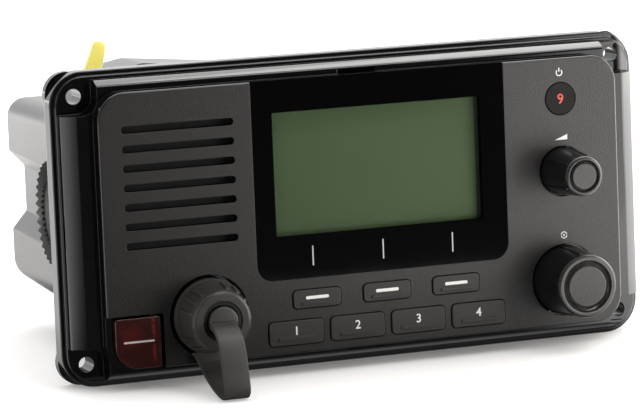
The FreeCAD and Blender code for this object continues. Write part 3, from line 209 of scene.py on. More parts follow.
# Painted shadow: the table's white is dimmed where the flange stands on it.
painted_contact_shadow = table_x.near(*painted_shadow_x) * table_y.near(*painted_shadow_y)
# Painted shade: a dark patch under the leaning case, where its shadow falls, that only gloss sees.
painted_shade_beneath = table_x.near(*painted_shade_x) * table_y.near(*painted_shade_y)
cloth_and_painted_shade = in_front.most(painted_shade_beneath) * mirrored
lit_cards = (bare_light + right_card * right_card_light + far_card * far_card_light
             + left_card * (left_card_light - behind * left_card_dimming)
             + near_card * (1 - right_card) * near_card_light)
table_strength = (seen * (table_light - painted_contact_shadow * painted_shadow_dimming)
                  + (mirrored - cloth_and_painted_shade) * lit_cards
                  + mirrored * (painted_shade_beneath * painted_shade_light + in_front * cloth_light))
matt = table_tree.node("ShaderNodeBsdfDiffuse", {}, {"Color": cloth_and_painted_shade.mix(table_white, cloth_and_shade_black)})
glow = table_tree.node("ShaderNodeEmission", {}, {"Color": (1, 0.995, 0.99, 1), "Strength": table_strength})
both = table_tree.node("ShaderNodeAddShader", {}, {0: matt, 1: glow})
table_tree.node("ShaderNodeOutputMaterial", {}, {"Surface": both})
table_mesh.materials.append(table_paint)


def softbox(name, place, target, width, height, radiance, colour=(1, 0.98, 0.96)):
    """A rectangular lamp, in metres, that faces its target and isn't seen itself."""
    lamp = bpy.data.lights.new(name, "AREA")
    lamp.color = colour
    lamp.shape = "RECTANGLE"
    lamp.size = width
    lamp.size_y = height
    lamp.energy = radiance * math.pi * width * height
    holder = bpy.data.objects.new(name, lamp)
    scene.collection.objects.link(holder)
    holder.location = place
    holder.rotation_euler = (Vector(target) - Vector(place)).to_track_quat("-Z", "Y").to_euler()
    holder.visible_camera = False


radio_middle = (0, 0.03, 0)
radio_front = (0.03, 0, -0.02)
softbox("overhead_softbox", (0.15, 0.60, 0.90), radio_middle, 1.2, 0.9, 2.4)
softbox("overhead_right_softbox", (0.60, 0.40, 0.85), radio_middle, 0.5, 0.6, 2.5)
softbox("front_softbox", (0.25, -0.45, 0.80), radio_middle, 0.55, 0.40, 4.0)
softbox("right_softbox", (0.60, -0.10, 0.15), radio_middle, 0.5, 0.45, 2.4, (1, 0.95, 0.90))
softbox("back_right_softbox", (0.70, 0.40, 0.15), radio_middle, 0.4, 0.5, 4.5, (1, 0.96, 0.92))
softbox("near_right_softbox", (0.285, -0.26, 0.045), radio_front, 0.16, 0.17, 5.2, (1, 0.94, 0.89))
softbox("left_softbox", (-0.75, -0.60, 0.15), radio_middle, 0.4, 0.4, 1.1)

wall_edge = (0.15, 0.5)        # the room is lit behind and overhead, and dark in front
wall_rise = 0.6
wall_light = 1.1
dark_room = 0.03

world = bpy.data.worlds.new("studio")
scene.world = world
world.use_nodes = True
world.node_tree.nodes.clear()
studio = Shade(world.node_tree)
_, away, up = studio.node("ShaderNodeTexCoord", {}, {}, "Generated").parts()
room = (away + up * wall_rise).above(*wall_edge) * wall_light + dark_room
camera_ray = studio.node("ShaderNodeLightPath", {}, {}, "Is Camera Ray")
through_glass = studio.node("ShaderNodeLightPath", {}, {}, "Is Transmission Ray")
white = camera_ray.most(through_glass)
world_strength = room * (1 - white) + white
background = studio.node("ShaderNodeBackground", {}, {"Color": (1, 1, 1, 1), "Strength": world_strength})
studio.node("ShaderNodeOutputWorld", {}, {"Surface": background})

# ---------------------------------------------------------------- front housing
# One moulding of black glass-filled plastic: a spark-eroded satin face, and a polished rim and trim frame
# around it. Screws through the flange hold it in a dashboard.


def finish(name, **fixed):
    """A material with one Principled shader and its plain sockets set, and the place on the piece."""
    material = bpy.data.materials.new(name)
    material.use_nodes = True
    shader = material.node_tree.nodes["Principled BSDF"]
    for key, value in fixed.items():
        shader.inputs[key.replace("_", " ")].default_value = value
    place = Shade(material.node_tree).node("ShaderNodeTexCoord", {}, {}, "Object")
    return material, shader, place


def wire(shader, **links):
    """Links a finish's changing values to its shader's sockets."""
    for key, value in links.items():
        value.tree.links.new(value.socket, shader.inputs[key.replace("_", " ")])


def grain(place, size, detail=2.0):
    """Noise with features of that size, in metres, as a value around 0.5."""
    return place.node("ShaderNodeTexNoise", {}, {"Vector": place, "Scale": 1 / size, "Detail": detail})


def bump(height, depth=1.0, strength=1.0, under=None):
    """The normal of a surface raised by height times depth, over another normal if there is one."""
    inputs = {"Height": height, "Distance": depth, "Strength": strength}
    if under:
        inputs["Normal"] = under
    return height.node("ShaderNodeBump", {}, inputs)


def soft_edge(place, radius):
    """The normal of the surface with its sharp edges rounded by that radius."""
    return place.node("ShaderNodeBevel", {"samples": 6}, {"Radius": radius})


def dress(material, *nodes):
    """Gives CAD nodes that material."""
    for node in nodes:
        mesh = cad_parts[node].data
        mesh.materials.clear()
        mesh.materials.append(material)


def distance(across, along):
    """How far a point with those two coordinates is from where both are 0."""
    square = across * across + along * along
    return square.maths("SQRT", square)


def outside(place, x, z, width, height, radius):
    """Distance outside a rounded rectangle on the face, in metres: negative within it."""
    along, _, rise = place.parts()
    over_x = abs(along - x) - (width / 2 - radius)
    over_z = abs(rise - z) - (height / 2 - radius)
    return distance(over_x.most(0), over_z.most(0)) + over_x.most(over_z).least(0) - radius


def crowned(offset, height):
    """A bulge of that height at offset 0, which ends at offsets -1 and 1."""
    return (1 - offset * offset).most(0) * height


panel_width = 150.0 * mm
panel_height = 74.4 * mm
panel_corner = 7.65 * mm
panel_edge = 0.35 * mm         # the satin stops short of the rounded edge
panel_softness = 0.04 * mm
spark_limit = 0.25 * mm        # and of everything sunk deeper than this
spark_softness = 0.08 * mm
spark_depth = 0.08 * mm
housing_low, housing_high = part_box("front_housing")
housing_front = housing_low.y
rim_width = housing_high.x - housing_low.x
rim_height = housing_high.z - housing_low.z
side_slope_middle = 3.6 * mm   # of the trim frame's sloping faces, from the flange's edges
side_slope_width = 3.9 * mm
side_crown = 0.065 * mm
top_slope_middle = 3.0 * mm
top_slope_width = 1.4 * mm
top_crown = 0.05 * mm
tool_mark_depth = 0.005 * mm
tool_mark_stretch = (0.1, 1, 1)             # ten times as long across as up
housing_edge = 0.22 * mm
satin_rough = 0.42
polish_rough = 0.04
smear_rough = 0.05             # added to the polish by smears and tool marks
speck_edge = (0.58, 0.12)      # how much of the noise shows as specks, and how softly
speck_share = 0.45

housing_plastic, shader, place = finish("housing_plastic", IOR=1.55)
along, depth, rise = place.parts()
off_panel = outside(place, 0, 0, panel_width, panel_height, panel_corner).above(-panel_edge, panel_softness)
on_face = (1 - off_panel) * (1 - depth.above(housing_front + spark_limit, spark_softness))
spark = grain(place, 0.40 * mm, 1.5)
cloud = grain(place, 14 * mm)
speck = grain(place, 0.30 * mm, 0.0).above(*speck_edge)
smear = grain(place, 9 * mm, 3.0)
stretched = place.node("ShaderNodeMapping", {}, {"Vector": place, "Scale": tool_mark_stretch})
tool_marks = grain(stretched, 0.35 * mm)
face_colour = cloud.mix((0.0076, 0.0069, 0.0064), (0.0096, 0.0087, 0.0081))
face_colour = (speck * speck_share).mix(face_colour, (0.036, 0.0335, 0.0315))
from_side = (rim_width / 2 - abs(along) - side_slope_middle) / (side_slope_width / 2)
from_top = (rim_height / 2 - abs(rise) - top_slope_middle) / (top_slope_width / 2)
crown = crowned(from_side, side_crown).most(crowned(from_top, top_crown))
polish_height = (crown + tool_marks * tool_mark_depth) * (1 - on_face)
polished = bump(polish_height, under=soft_edge(place, housing_edge))
polished_rough = polish_rough + smear * smear_rough + tool_marks * smear_rough
wire(shader, Base_Color=on_face.mix((0.0042, 0.0043, 0.0052), face_colour),
     Roughness=on_face * satin_rough + (1 - on_face) * polished_rough,
     Normal=bump(spark * on_face, spark_depth, 0.9, polished))
dress(housing_plastic, "front_housing")

# ---------------------------------------------------------------- display window and liquid-crystal panel
# A flat acrylic window, printed black behind except over the display. The panel behind it is a grey-green
# reflective liquid crystal, unlit, with a darker border.


def face_of(node):
    """The middle of a node's front across and up, and its depth."""
    low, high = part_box(node)
    return (low.x + high.x) / 2, (low.z + high.z) / 2, low.y


window_low, window_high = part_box("display_window")
view_x, view_z, _ = face_of("lcd_panel")
view_width = 60.4 * mm
view_height = 33.7 * mm
view_corner = 0.2 * mm
print_softness = 0.04 * mm

window_acrylic, shader, place = finish("window_acrylic", IOR=1.49, Roughness=0.04)
off_view = outside(place, view_x, view_z, view_width, view_height, view_corner)
printed = off_view.above(0, print_softness)
wire(shader, Base_Color=printed.mix((0.02, 0.025, 0.02), (0.0007, 0.0007, 0.0009)),
     Alpha=printed * 0.97 + 0.03, Roughness=0.03 + grain(place, 12 * mm, 3.0) * 0.03)
dress(window_acrylic, "display_window")

lit_x = view_x - 0.5 * mm      # the border is wider at the right
lit_width = view_width - 0.7 * mm
lit_height = view_height + 2 * mm
lit_softness = 0.12 * mm

liquid_crystal, shader, place = finish("liquid_crystal", IOR=1.25)
lit = 1 - outside(place, lit_x, view_z, lit_width, lit_height, view_corner).above(0, lit_softness)
along, _, _ = place.parts()
across = (along - window_low.x) / (window_high.x - window_low.x)
mottle = grain(place, 22 * mm)
# Painted light: the display is a little lighter towards the right, where the lamps are. The mottle is its
# own tone.
tone_and_painted_light = across.mix((0.060, 0.094, 0.044), (0.070, 0.112, 0.052))
tone_and_painted_light = (mottle * 0.25).mix(tone_and_painted_light, (0.068, 0.106, 0.050))
wire(shader, Base_Color=lit.mix((0.030, 0.032, 0.024), tone_and_painted_light), Roughness=0.34 + mottle * 0.08)
dress(liquid_crystal, "lcd_panel")

# ---------------------------------------------------------------- soft-key ticks on the window
# Three short white lines, screen-printed on the front of the window, each over a soft key. They lead from
# the keys up to what the display says they do.


def skin_over(shape, rings):
    """Faces from each ring of points to the next, with the first and the last ring closed."""
    for first, second in zip(rings, rings[1:]):
        for k in range(len(first)):
            n = (k + 1) % len(first)
            shape.faces.new((first[k], first[n], second[n], second[k]))
    shape.faces.new(rings[0])
    shape.faces.new(rings[-1])


def plate(name, outline, front, thickness, body, material):
    """A thin plate from an (x, z) outline, with its front face at that depth."""
    mesh = bpy.data.meshes.new(name)
    shape = bmesh.new()
    skin_over(shape, [[shape.verts.new((x, depth, z)) for x, z in outline]
                      for depth in (front, front + thickness)])
    bmesh.ops.recalc_face_normals(shape, faces=shape.faces)
    shape.to_mesh(mesh)
    shape.free()
    piece = bpy.data.objects.new(name, mesh)
    scene.collection.objects.link(piece)
    mesh.materials.append(material)
    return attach(piece, body)


def bar(x, z, width, height, radius, steps=5):
    """The outline of a bar with rounded corners."""
    points = []
    for corner, (side, end) in enumerate(((1, 1), (-1, 1), (-1, -1), (1, -1))):
        for i in range(steps + 1):
            angle = math.pi / 2 * (corner + i / steps)
            points.append((x + side * (width / 2 - radius) + radius * math.cos(angle),
                           z + end * (height / 2 - radius) + radius * math.sin(angle)))
    return points


ink_proud = 0.02 * mm
ink_depth = 0.05 * mm


def print_mark(name, outline, surface, body, colour):
    """A screen-printed mark on a surface at that depth."""
    return plate(name, outline, surface - ink_proud, ink_depth, body, colour)


def ink(name, colour):
    """Printed ink, a little thinner in places."""
    material, shader, place = finish(name, Roughness=0.45)
    wear = grain(place, 0.25 * mm)
    wire(shader, Base_Color=(wear * 0.3).mix(colour, tuple(c * 0.75 for c in colour)))
    return material


tick_x = (-16.2 * mm, 4.2 * mm, 24.6 * mm)
tick_z = -10.85 * mm
tick_width = 0.36 * mm
tick_height = 5.4 * mm
tick_corner = 0.12 * mm

white_ink = ink("white_ink", (0.62, 0.61, 0.58))
for i, x in enumerate(tick_x):
    print_mark("window_tick_%d" % (i + 1), bar(x, tick_z, tick_width, tick_height, tick_corner),
               window_low.y, "radio", white_ink)

# ---------------------------------------------------------------- keys
# Eight keys of hard rubber with a moulded ridge to find them by touch, printed in white and red. They
# stand a little proud of the face in close openings, on a silicone mat.

key_ridge = 0.35 * mm          # the keys' faces lie this far behind their ridges
painted_shade_start = 0.13 * mm     # and the painted shade on their sides begins this far behind their faces
painted_shade_softness = 0.08 * mm
key_edge = 0.2 * mm

key_rubber, shader, place = finish("key_rubber", IOR=1.5)
spark = grain(place, 0.36 * mm, 1.0)
cloud = grain(place, 5 * mm)
_, depth, _ = place.parts()
key_face = face_of("function_key_1")[2] + key_ridge
# Painted shade: the keys' sides are painted near black, as the gaps round them are in shade.
painted_shade_sides = depth.above(key_face + painted_shade_start, painted_shade_softness)
key_colour = cloud.mix((0.0230, 0.0207, 0.0193), (0.0290, 0.0262, 0.0245))
wire(shader, Base_Color=painted_shade_sides.mix(key_colour, (0.001, 0.001, 0.001)),
     Roughness=0.40 + cloud * 0.1 + painted_shade_sides * 0.4,
     Normal=bump(spark, 0.03 * mm, 0.7, soft_edge(place, key_edge)))

soft_bar_width = 6.6 * mm
soft_bar_height = 0.85 * mm
soft_bar_corner = 0.3 * mm
soft_bar_rise = 0.35 * mm      # above the key's middle

bright_ink = ink("bright_ink", (0.95, 0.95, 0.93))
for i in range(3):
    key = "soft_key_%d" % (i + 1)
    dress(key_rubber, key)
    x, z, front = face_of(key)
    print_mark(key + "_bar", bar(x, z + soft_bar_rise, soft_bar_width, soft_bar_height, soft_bar_corner),
               front + key_ridge, key, bright_ink)

digit_share = 0.69             # a digit's height, as a share of the font's size
stroke_gain = 0.012            # how much its outline grows, as a share of its height


def numeral(name, text, height, x, z, front, body, material):
    """Plain lettering, centred at (x, z) on a face at that depth."""
    letters = bpy.data.curves.new(name, "FONT")
    letters.body = text
    letters.size = height / digit_share
    letters.align_x = "CENTER"
    letters.offset = height * stroke_gain
    letters.extrude = ink_depth / 2
    source = bpy.data.objects.new(name + "_outline", letters)
    mesh = bpy.data.meshes.new_from_object(source)
    mesh.transform(Matrix.Translation((x, front + ink_depth / 2 - ink_proud, z - height / 2))
                   @ Matrix.Rotation(math.pi / 2, 4, "X"))
    bpy.data.objects.remove(source)
    piece = bpy.data.objects.new(name, mesh)
    scene.collection.objects.link(piece)
    mesh.materials.clear()
    mesh.materials.append(material)
    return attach(piece, body)


key_number_height = 2.3 * mm
key_number_rise = 0.6 * mm
channel_number_height = 2.7 * mm

for i in range(4):
    key = "function_key_%d" % (i + 1)
    dress(key_rubber, key)
    x, z, front = face_of(key)
    numeral(key + "_number", str(i + 1), key_number_height, x, z + key_number_rise, front + key_ridge,
            key, bright_ink)

dress(key_rubber, "channel_key")
x, z, front = face_of("channel_key")
red_ink = ink("red_ink", (0.80, 0.10, 0.07))
numeral("channel_number", "9", channel_number_height, x, z, front, "channel_key", red_ink)

# ---------------------------------------------------------------- knobs
# Two moulded black knobs on metal shafts: satin tapered sides with five fine ribs, a polished dished ring
# and a textured disc in the end.

volume_top_radius = 5.44 * mm
select_top_radius = 8.66 * mm
end_depth = 1.0 * mm
end_softness = 0.15 * mm
disc_share = 0.62              # of the end's radius
ring_share = 0.86
ring_softness = 0.1 * mm
dish_inner = 0.63              # of the dished ring, as shares of the end's radius
dish_outer = 0.84
dish_slope = 0.7               # its floor rises outwards
disc_grain_depth = 0.055 * mm
knob_edge = 0.2 * mm


def dress_knob(node, top_radius):
    """Satin sides, a polished ring in the end face with a painted sheen, and a textured disc inside it."""
    material, shader, place = finish(node + "_plastic", IOR=1.65)
    along, depth, rise = place.parts()
    x, z, _ = face_of(node.replace("knob", "rotor"))
    radius = distance(along - x, rise - z)
    end = 1 - depth.above(face_of(node)[2] + end_depth, end_softness)
    beyond_disc = radius.above(top_radius * disc_share, ring_softness)
    disc = end * (1 - beyond_disc)
    ring = end * beyond_disc * (1 - radius.above(top_radius * ring_share, ring_softness))
    spark = grain(place, 0.34 * mm, 1.0)
    cloud = grain(place, 6 * mm)
    sides = cloud.mix((0.0055, 0.0060, 0.0066), (0.0085, 0.0090, 0.0097))
    colour = disc.mix(end.mix(sides, (0.012, 0.0118, 0.0115)), (0.015, 0.0142, 0.0136))
    # Painted sheen: the polished ring is lightened in clouds, standing in for what it reflects.
    colour = (ring * cloud).mix(colour, (0.050, 0.048, 0.046))
    dish_width = top_radius * (dish_outer - dish_inner)
    bank = (radius - top_radius * dish_inner).most(0).least(dish_width) * dish_slope
    dished = bump(bank * end, under=soft_edge(place, knob_edge))
    wire(shader, Base_Color=colour, Roughness=0.30 + disc * 0.14 - ring * 0.14 + cloud * 0.05,
         Normal=bump(spark * (disc * 0.9 + 0.1), disc_grain_depth, 0.8, dished))
    dress(material, node)


dress_knob("volume_knob", volume_top_radius)
dress_knob("select_knob", select_top_radius)

# ---------------------------------------------------------------- marks over the knobs
# Three small signs, screen-printed in white: a power sign over the round key, a rising wedge over the
# volume knob and a ring with a dot over the select knob.


def arc_band(x, z, radius, width, start, end, steps=28):
    """The outline of part of a ring, between two angles in degrees."""
    turns = [math.radians(start + (end - start) * i / steps) for i in range(steps + 1)]
    outer, inner = [[(x + reach * math.cos(turn), z + reach * math.sin(turn)) for turn in turns]
                    for reach in (radius + width / 2, radius - width / 2)]
    return outer + inner[::-1]


def sign(name, outline):
    """A white mark on the control face."""
    print_mark(name, outline, housing_front, "radio", bright_ink)


sign_x = 58.0 * mm
sign_line = 0.26 * mm
sign_radius = 0.85 * mm
power_z = 33.2 * mm
power_gap = (130, 410)         # the ring runs between these angles and leaves its top open
power_bar_z = 34.0 * mm
power_bar_height = 1.1 * mm
power_bar_corner = 0.1 * mm
wedge_z = 14.6 * mm
wedge_half = 1.9 * mm
wedge_rise = 1.5 * mm
select_z = -11.9 * mm
select_halves = {"upper": (8, 172), "lower": (188, 352)}
dot_radius = 0.15 * mm         # the dot is a short thick band round its own middle, just not closed
dot_line = 0.28 * mm
dot_turn = (0, 359)

sign("power_sign_ring", arc_band(sign_x, power_z, sign_radius, sign_line, *power_gap))
sign("power_sign_bar", bar(sign_x, power_bar_z, sign_line, power_bar_height, power_bar_corner))
sign("volume_sign", [(sign_x - wedge_half, wedge_z), (sign_x + wedge_half, wedge_z),
                     (sign_x + wedge_half, wedge_z + wedge_rise)])
for name, turn in select_halves.items():
    sign("select_sign_" + name, arc_band(sign_x, select_z, sign_radius, sign_line, *turn))
sign("select_sign_dot", arc_band(sign_x, select_z, dot_radius, dot_line, *dot_turn))

# ---------------------------------------------------------------- distress door, button and hinge
# A dark red translucent door, flush in the corner of the face, on a steel pin with a torsion spring. It
# guards a red button in a small well.


def moulded(name, size, dark, light, rough, spread, detail=2.0, **fixed):
    """A plain moulded finish, with a cloudy colour and a gloss that changes by the spread."""
    material, shader, place = finish(name, **fixed)
    cloud = grain(place, size, detail)
    wire(shader, Base_Color=cloud.mix(dark, light), Roughness=rough + cloud * spread)
    return material


# Middle, reach and softness, as shares of the door's width or height.
button_across = (0.34, 0.20, 0.10)      # the button shows through the door
button_up = (0.64, 0.16, 0.10)
strip_across = (0.83, 0.03, 0.03)       # a broken line of light beside the hinge
strip_low = (0.30, 0.17, 0.03)
strip_high = (0.60, 0.04)
flaw_edge = (0.42, 0.12)                # and where the noise breaks it, and how softly
door_edge = 0.25 * mm
door_bar_right = 0.1 * mm
door_bar_z = -29.5 * mm
door_bar_width = 8.6 * mm
door_bar_height = 0.5 * mm
door_bar_corner = 0.2 * mm

door_low, door_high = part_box("distress_door")
door_plastic, shader, place = finish("door_plastic", IOR=1.55, Transmission_Weight=0.25)
along, _, rise = place.parts()
door_across = (along - door_low.x) / (door_high.x - door_low.x)
door_up = (rise - door_low.z) / (door_high.z - door_low.z)
murk = grain(place, 2.6 * mm, 3.0)
flaw = grain(place, 0.9 * mm, 3.0).above(*flaw_edge)
strip_lengths = door_up.near(*strip_low).most(door_up.above(*strip_high))
light_strip = flaw * door_across.near(*strip_across) * strip_lengths
button_glow = door_across.near(*button_across) * door_up.near(*button_up)
dark_red = murk.mix((0.020, 0.0040, 0.0032), (0.070, 0.0085, 0.0058))
dark_red = (button_glow * 0.5).mix(dark_red, (0.150, 0.010, 0.006))
dark_red = (light_strip * 0.7).mix(dark_red, (0.260, 0.024, 0.014))
wire(shader, Base_Color=dark_red, Roughness=0.12 + murk * 0.10, Normal=soft_edge(place, door_edge))
dress(door_plastic, "distress_door")
door_x, _, door_front = face_of("distress_door")
door_bar = bar(door_x + door_bar_right, door_bar_z, door_bar_width, door_bar_height, door_bar_corner)
print_mark("door_bar", door_bar, door_front, "distress_door", white_ink)

button_plastic = moulded("button_plastic", 1.5 * mm, (0.45, 0.02, 0.015), (0.55, 0.035, 0.02),
                         rough=0.25, spread=0.15, IOR=1.5)
dress(button_plastic, "distress_button")


def metal(name, colour, rough):
    """Bare metal with fine, slightly uneven machining."""
    material, shader, place = finish(name, Metallic=1.0)
    streak = grain(place, 0.4 * mm, 3.0)
    wire(shader, Base_Color=streak.mix(colour, tuple(c * 0.8 for c in colour)),
         Roughness=rough + streak * 0.15, Normal=bump(streak, 0.01 * mm, 0.4))
    return material


steel = metal("stainless_steel", (0.62, 0.61, 0.60), rough=0.2)
dress(steel, "door_pin", "door_spring", "case_screws", "antenna_socket")

# ---------------------------------------------------------------- microphone socket and its cap
# A black threaded socket under a weather cap: a ridged collar that turns on a plug, and a rubber strap.
# The strap loops down from a disc in the plug's face, where it folds at a small bar, to a ring round the
# socket.

cap_plastic, shader, place = finish("cap_plastic", IOR=1.5)
spark = grain(place, 0.5 * mm)
cloud = grain(place, 4 * mm)
wire(shader, Base_Color=cloud.mix((0.036, 0.0345, 0.033), (0.052, 0.050, 0.048)),
     Roughness=0.24 + cloud * 0.12, Normal=bump(spark, 0.025 * mm, 0.6, soft_edge(place, 0.3 * mm)))
dress(cap_plastic, "cap_collar")

socket_plastic = moulded("socket_plastic", 3 * mm, (0.0035, 0.0035, 0.0035), (0.0055, 0.0055, 0.0055),
                         rough=0.25, spread=0.15, IOR=1.5)
dress(socket_plastic, "cap_plug", "socket_barrel", "contact_carrier", "socket_nut", "network_socket",
      "cable_gland")
brass = metal("brass", (0.72, 0.50, 0.22), rough=0.22)
dress(brass, "socket_contacts", "bracket_inserts", "antenna_contact")

strap_rubber, shader, place = finish("strap_rubber", IOR=1.5)
skin = grain(place, 0.35 * mm)
cloud = grain(place, 5 * mm, 3.0)
wire(shader, Base_Color=cloud.mix((0.040, 0.038, 0.036), (0.060, 0.0575, 0.055)),
     Roughness=0.42 + cloud * 0.12, Normal=bump(skin, 0.03 * mm, 0.6))
dress(strap_rubber, "strap_ring")

socket_x, socket_z, front_ring = face_of("strap_ring")
collar_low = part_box("cap_collar")[0]
strap_x = socket_x - 0.5 * mm
strap_width = 7.2 * mm
strap_thickness = 1.3 * mm
strap_edge = 0.35 * mm
strap_flare = 3.4 * mm         # how much wider the strap gets at the ring
flare_start = 0.86             # as a share of its length
strap_steps = 9
fold_y = collar_low.y - 10.6 * mm
fold_z = socket_z - 18.8 * mm
strap_route = [
    (collar_low.y - 0.6 * mm, socket_z - 1.1 * mm), (collar_low.y - 3.6 * mm, socket_z - 1.7 * mm),
    (collar_low.y - 6.6 * mm, socket_z - 4.0 * mm), (collar_low.y - 8.7 * mm, socket_z - 8.5 * mm),
    (fold_y + 0.9 * mm, fold_z + 6.4 * mm), (fold_y, fold_z + 2.4 * mm),
    (fold_y + 0.7 * mm, fold_z + 0.6 * mm), (fold_y + 2.5 * mm, fold_z),
    (fold_y + 5.8 * mm, fold_z + 0.4 * mm), (fold_y + 10.8 * mm, fold_z + 1.7 * mm),
    (front_ring - 3.4 * mm, fold_z + 4.2 * mm), (front_ring - 0.7 * mm, fold_z + 6.4 * mm),
    (front_ring + 0.7 * mm, fold_z + 9.3 * mm)]
disc_front = collar_low.y - 1.2 * mm
disc_turned = [(0.2, 0.0), (3.4, 0.0), (3.85, 0.12), (4.0, 0.45), (4.0, 2.6)]   # radius and depth, in mm
disc_sides = 64
hinge_x = socket_x - 0.3 * mm
hinge_z = socket_z - 0.35 * mm
hinge_front = collar_low.y - 2.2 * mm
hinge_width = 7.4 * mm
hinge_height = 0.7 * mm
hinge_corner = 0.3 * mm
hinge_thickness = 1.2 * mm


def smooth_run(points, steps):
    """Points on a smooth curve through the given (y, z) points."""
    ends = [tuple(2 * a - b for a, b in zip(points[0], points[1]))] + points
    ends += [tuple(2 * a - b for a, b in zip(points[-1], points[-2]))]
    run = []
    for before, here, there, after in zip(ends, ends[1:], ends[2:], ends[3:]):
        for i in range(steps):
            t = i / steps
            run.append(Vector([0.5 * (2 * b + (c - a) * t + (2 * a - 5 * b + 4 * c - d) * t * t
                                      + (3 * b - a - 3 * c + d) * t ** 3)
                               for a, b, c, d in zip(before, here, there, after)]))
    run.append(Vector(points[-1]))
    return run


def make_strap():
    """The strap swept along its loop, wider where it meets the ring, with the disc it hangs from."""
    shape = bmesh.new()
    run = smooth_run(strap_route, strap_steps)
    rings = []
    for i, here in enumerate(run):
        along = (run[min(i + 1, len(run) - 1)] - run[max(i - 1, 0)]).normalized()
        out = Vector((-along.y, along.x))
        share = i / (len(run) - 1)
        flare = max(0.0, (share - flare_start) / (1 - flare_start)) ** 2 * strap_flare
        section = bar(0, 0, strap_width + flare, strap_thickness, strap_edge, steps=4)
        rings.append([shape.verts.new((strap_x + across, here.x + out.x * proud, here.y + out.y * proud))
                      for across, proud in section])
    skin_over(shape, rings)
    turns = [2 * math.pi * k / disc_sides for k in range(disc_sides)]
    rings = [[shape.verts.new((socket_x + radius * mm * math.cos(turn),
                               disc_front + depth * mm,
                               socket_z + radius * mm * math.sin(turn))) for turn in turns]
             for radius, depth in disc_turned]
    skin_over(shape, rings)
    bmesh.ops.recalc_face_normals(shape, faces=shape.faces)
    mesh = bpy.data.meshes.new("cap_tether")
    shape.to_mesh(mesh)
    shape.free()
    mesh.shade_smooth()
    mesh.materials.append(strap_rubber)
    piece = bpy.data.objects.new("cap_tether", mesh)
    scene.collection.objects.link(piece)
    return piece


tether = make_strap()
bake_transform(tether)
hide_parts("cap_strap")
plate("tether_hinge", bar(hinge_x, hinge_z, hinge_width, hinge_height, hinge_corner), hinge_front,
      hinge_thickness, "cap", strap_rubber)

# ---------------------------------------------------------------- rear case
# A die-cast aluminium case with cooling fins, powder-coated black, closed against the front housing by a
# rubber seal and four screws. Toothed bosses on its sides take a tilt bracket, and a grey foam gasket
# behind the flange seals the hole in the dashboard.

bracket_low, bracket_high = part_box("bracket_inserts")
bracket_y = (bracket_low.y + bracket_high.y) / 2
tooth_ring_radius = 15.2 * mm
tooth_ring_softness = 0.3 * mm
case_edge = 0.3 * mm

powder_coat, shader, place = finish("powder_coat", IOR=1.6, Coat_Roughness=0.35)
pebble = grain(place, 0.8 * mm)
cloud = grain(place, 20 * mm)
_, depth, rise = place.parts()
on_teeth = 1 - distance(depth - bracket_y, rise).above(tooth_ring_radius, tooth_ring_softness)
coat = cloud.mix((0.040, 0.040, 0.041), (0.052, 0.052, 0.053))
wire(shader, Base_Color=on_teeth.mix(coat, (0.010, 0.010, 0.010)), Coat_Weight=0.6 - on_teeth * 0.6,
     Roughness=0.42 + pebble * 0.15 + on_teeth * 0.15,
     Normal=bump(pebble, 0.05 * mm, 0.5, soft_edge(place, case_edge)))
dress(powder_coat, "rear_housing")

foam, shader, place = finish("foam", IOR=1.5)
cell = grain(place, 0.5 * mm, 3.0)
wire(shader, Base_Color=cell.mix((0.10, 0.10, 0.102), (0.16, 0.16, 0.162)),
     Roughness=0.38 + cell * 0.1, Normal=bump(cell, 0.03 * mm, 0.6))
dress(foam, "mounting_gasket")
seal_rubber = moulded("seal_rubber", 0.6 * mm, (0.010, 0.010, 0.010), (0.018, 0.018, 0.018),
                      rough=0.55, spread=0.2)
dress(seal_rubber, "case_seal", "cap_seal", "keypad_mat", "channel_key_pad")

# ---------------------------------------------------------------- antenna cap
# A soft yellow vinyl cap that keeps salt out of the antenna socket until the antenna is fitted, with a
# tab to pull it off by. The socket's own insulator is white nylon.

cap_vinyl = moulded("cap_vinyl", 6 * mm, (1.0, 0.76, 0.30), (1.0, 0.84, 0.46), rough=0.32, spread=0.1,
                    IOR=1.45, Subsurface_Weight=0.9, Subsurface_Scale=6 * mm,
                    Subsurface_Radius=(1, 0.85, 0.35))
dress(cap_vinyl, "antenna_cap")
nylon = moulded("white_nylon", 2 * mm, (0.70, 0.70, 0.68), (0.78, 0.78, 0.76), rough=0.4, spread=0.1)
dress(nylon, "antenna_insulator", "backlight")

# ---------------------------------------------------------------- loudspeaker
# A small loudspeaker behind seven slots: a woven black mesh glued behind the slots, and a coated paper
# cone in a pressed aluminium basket with a ferrite magnet.


def wave(along, pitch):
    """A sine of that pitch, from -1 to 1."""
    turn = along * (2 * math.pi / pitch)
    return turn.maths("SINE", turn)


thread_pitch = 0.5 * mm
thread_edge = (0, 0.6)         # where the threads end and the gaps begin, and how softly

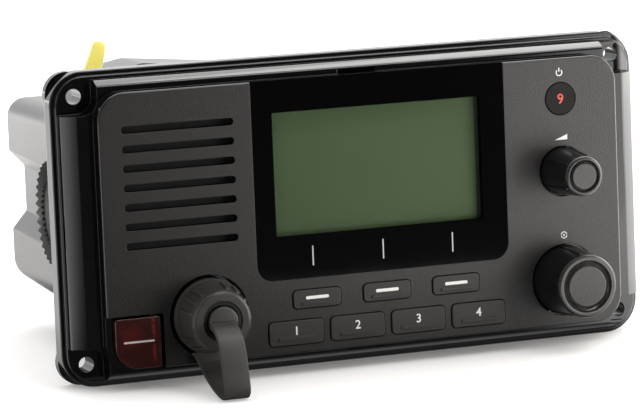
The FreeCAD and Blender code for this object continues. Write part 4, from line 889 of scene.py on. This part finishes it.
mesh_cloth, shader, place = finish("speaker_mesh_cloth", Roughness=0.7)
along, _, rise = place.parts()
knit = wave(along, thread_pitch) * wave(rise, thread_pitch)
wire(shader, Base_Color=knit.above(*thread_edge).mix((0.003, 0.003, 0.003), (0.012, 0.012, 0.012)),
     Normal=bump(knit, 0.1 * mm, 0.8))
dress(mesh_cloth, "speaker_mesh")
cone_paper, shader, place = finish("speaker_cone_paper", Roughness=0.8)
fibre = grain(place, 0.8 * mm, 4.0)
wire(shader, Base_Color=fibre.mix((0.010, 0.010, 0.010), (0.022, 0.021, 0.02)),
     Normal=bump(fibre, 0.1 * mm, 0.5))
dress(cone_paper, "speaker_cone")
ferrite = moulded("ferrite", 1.5 * mm, (0.03, 0.03, 0.032), (0.05, 0.05, 0.052), rough=0.5, spread=0.2,
                  detail=3.0)
dress(ferrite, "speaker_magnet")
aluminium = metal("pressed_aluminium", (0.70, 0.70, 0.71), rough=0.28)
dress(aluminium, "speaker_basket", "volume_shaft", "select_shaft", "rf_shield")

# ---------------------------------------------------------------- boards and switches inside the case
# Green circuit boards with copper tracks under the solder mask, moulded switch and encoder bodies, and a
# flat ribbon cable between the boards.

track_edge = (0.03, 0.01)      # half the tracks' width in the noise, and its softness

circuit_board, shader, place = finish("circuit_board", IOR=1.5, Roughness=0.3)
track = abs(grain(place, 2.0 * mm, 0.0) - 0.5).above(*track_edge)
wire(shader, Base_Color=track.mix((0.05, 0.22, 0.08), (0.012, 0.10, 0.035)),
     Normal=bump(track, 0.03 * mm, 0.5))
dress(circuit_board, "front_board", "main_board", "distress_board")
black_moulding = moulded("black_moulding", 1.2 * mm, (0.018, 0.018, 0.018), (0.028, 0.028, 0.028),
                         rough=0.45, spread=0.1)
dress(black_moulding, "volume_encoder", "select_encoder", "volume_rotor", "select_rotor",
      "distress_switch", "power_amplifier")
dress(steel, "key_switches")

core_pitch = 1.27 * mm
core_edge = (-0.6, 0.2)        # where the cores end and the grooves begin, and how softly

ribbon, shader, place = finish("ribbon_cable", Roughness=0.5)
along, _, _ = place.parts()
cores = wave(along, core_pitch)
wire(shader, Base_Color=cores.above(*core_edge).mix((0.25, 0.25, 0.24), (0.55, 0.55, 0.52)),
     Normal=bump(cores, 0.2 * mm, 0.6))
dress(ribbon, "ribbon_cable")
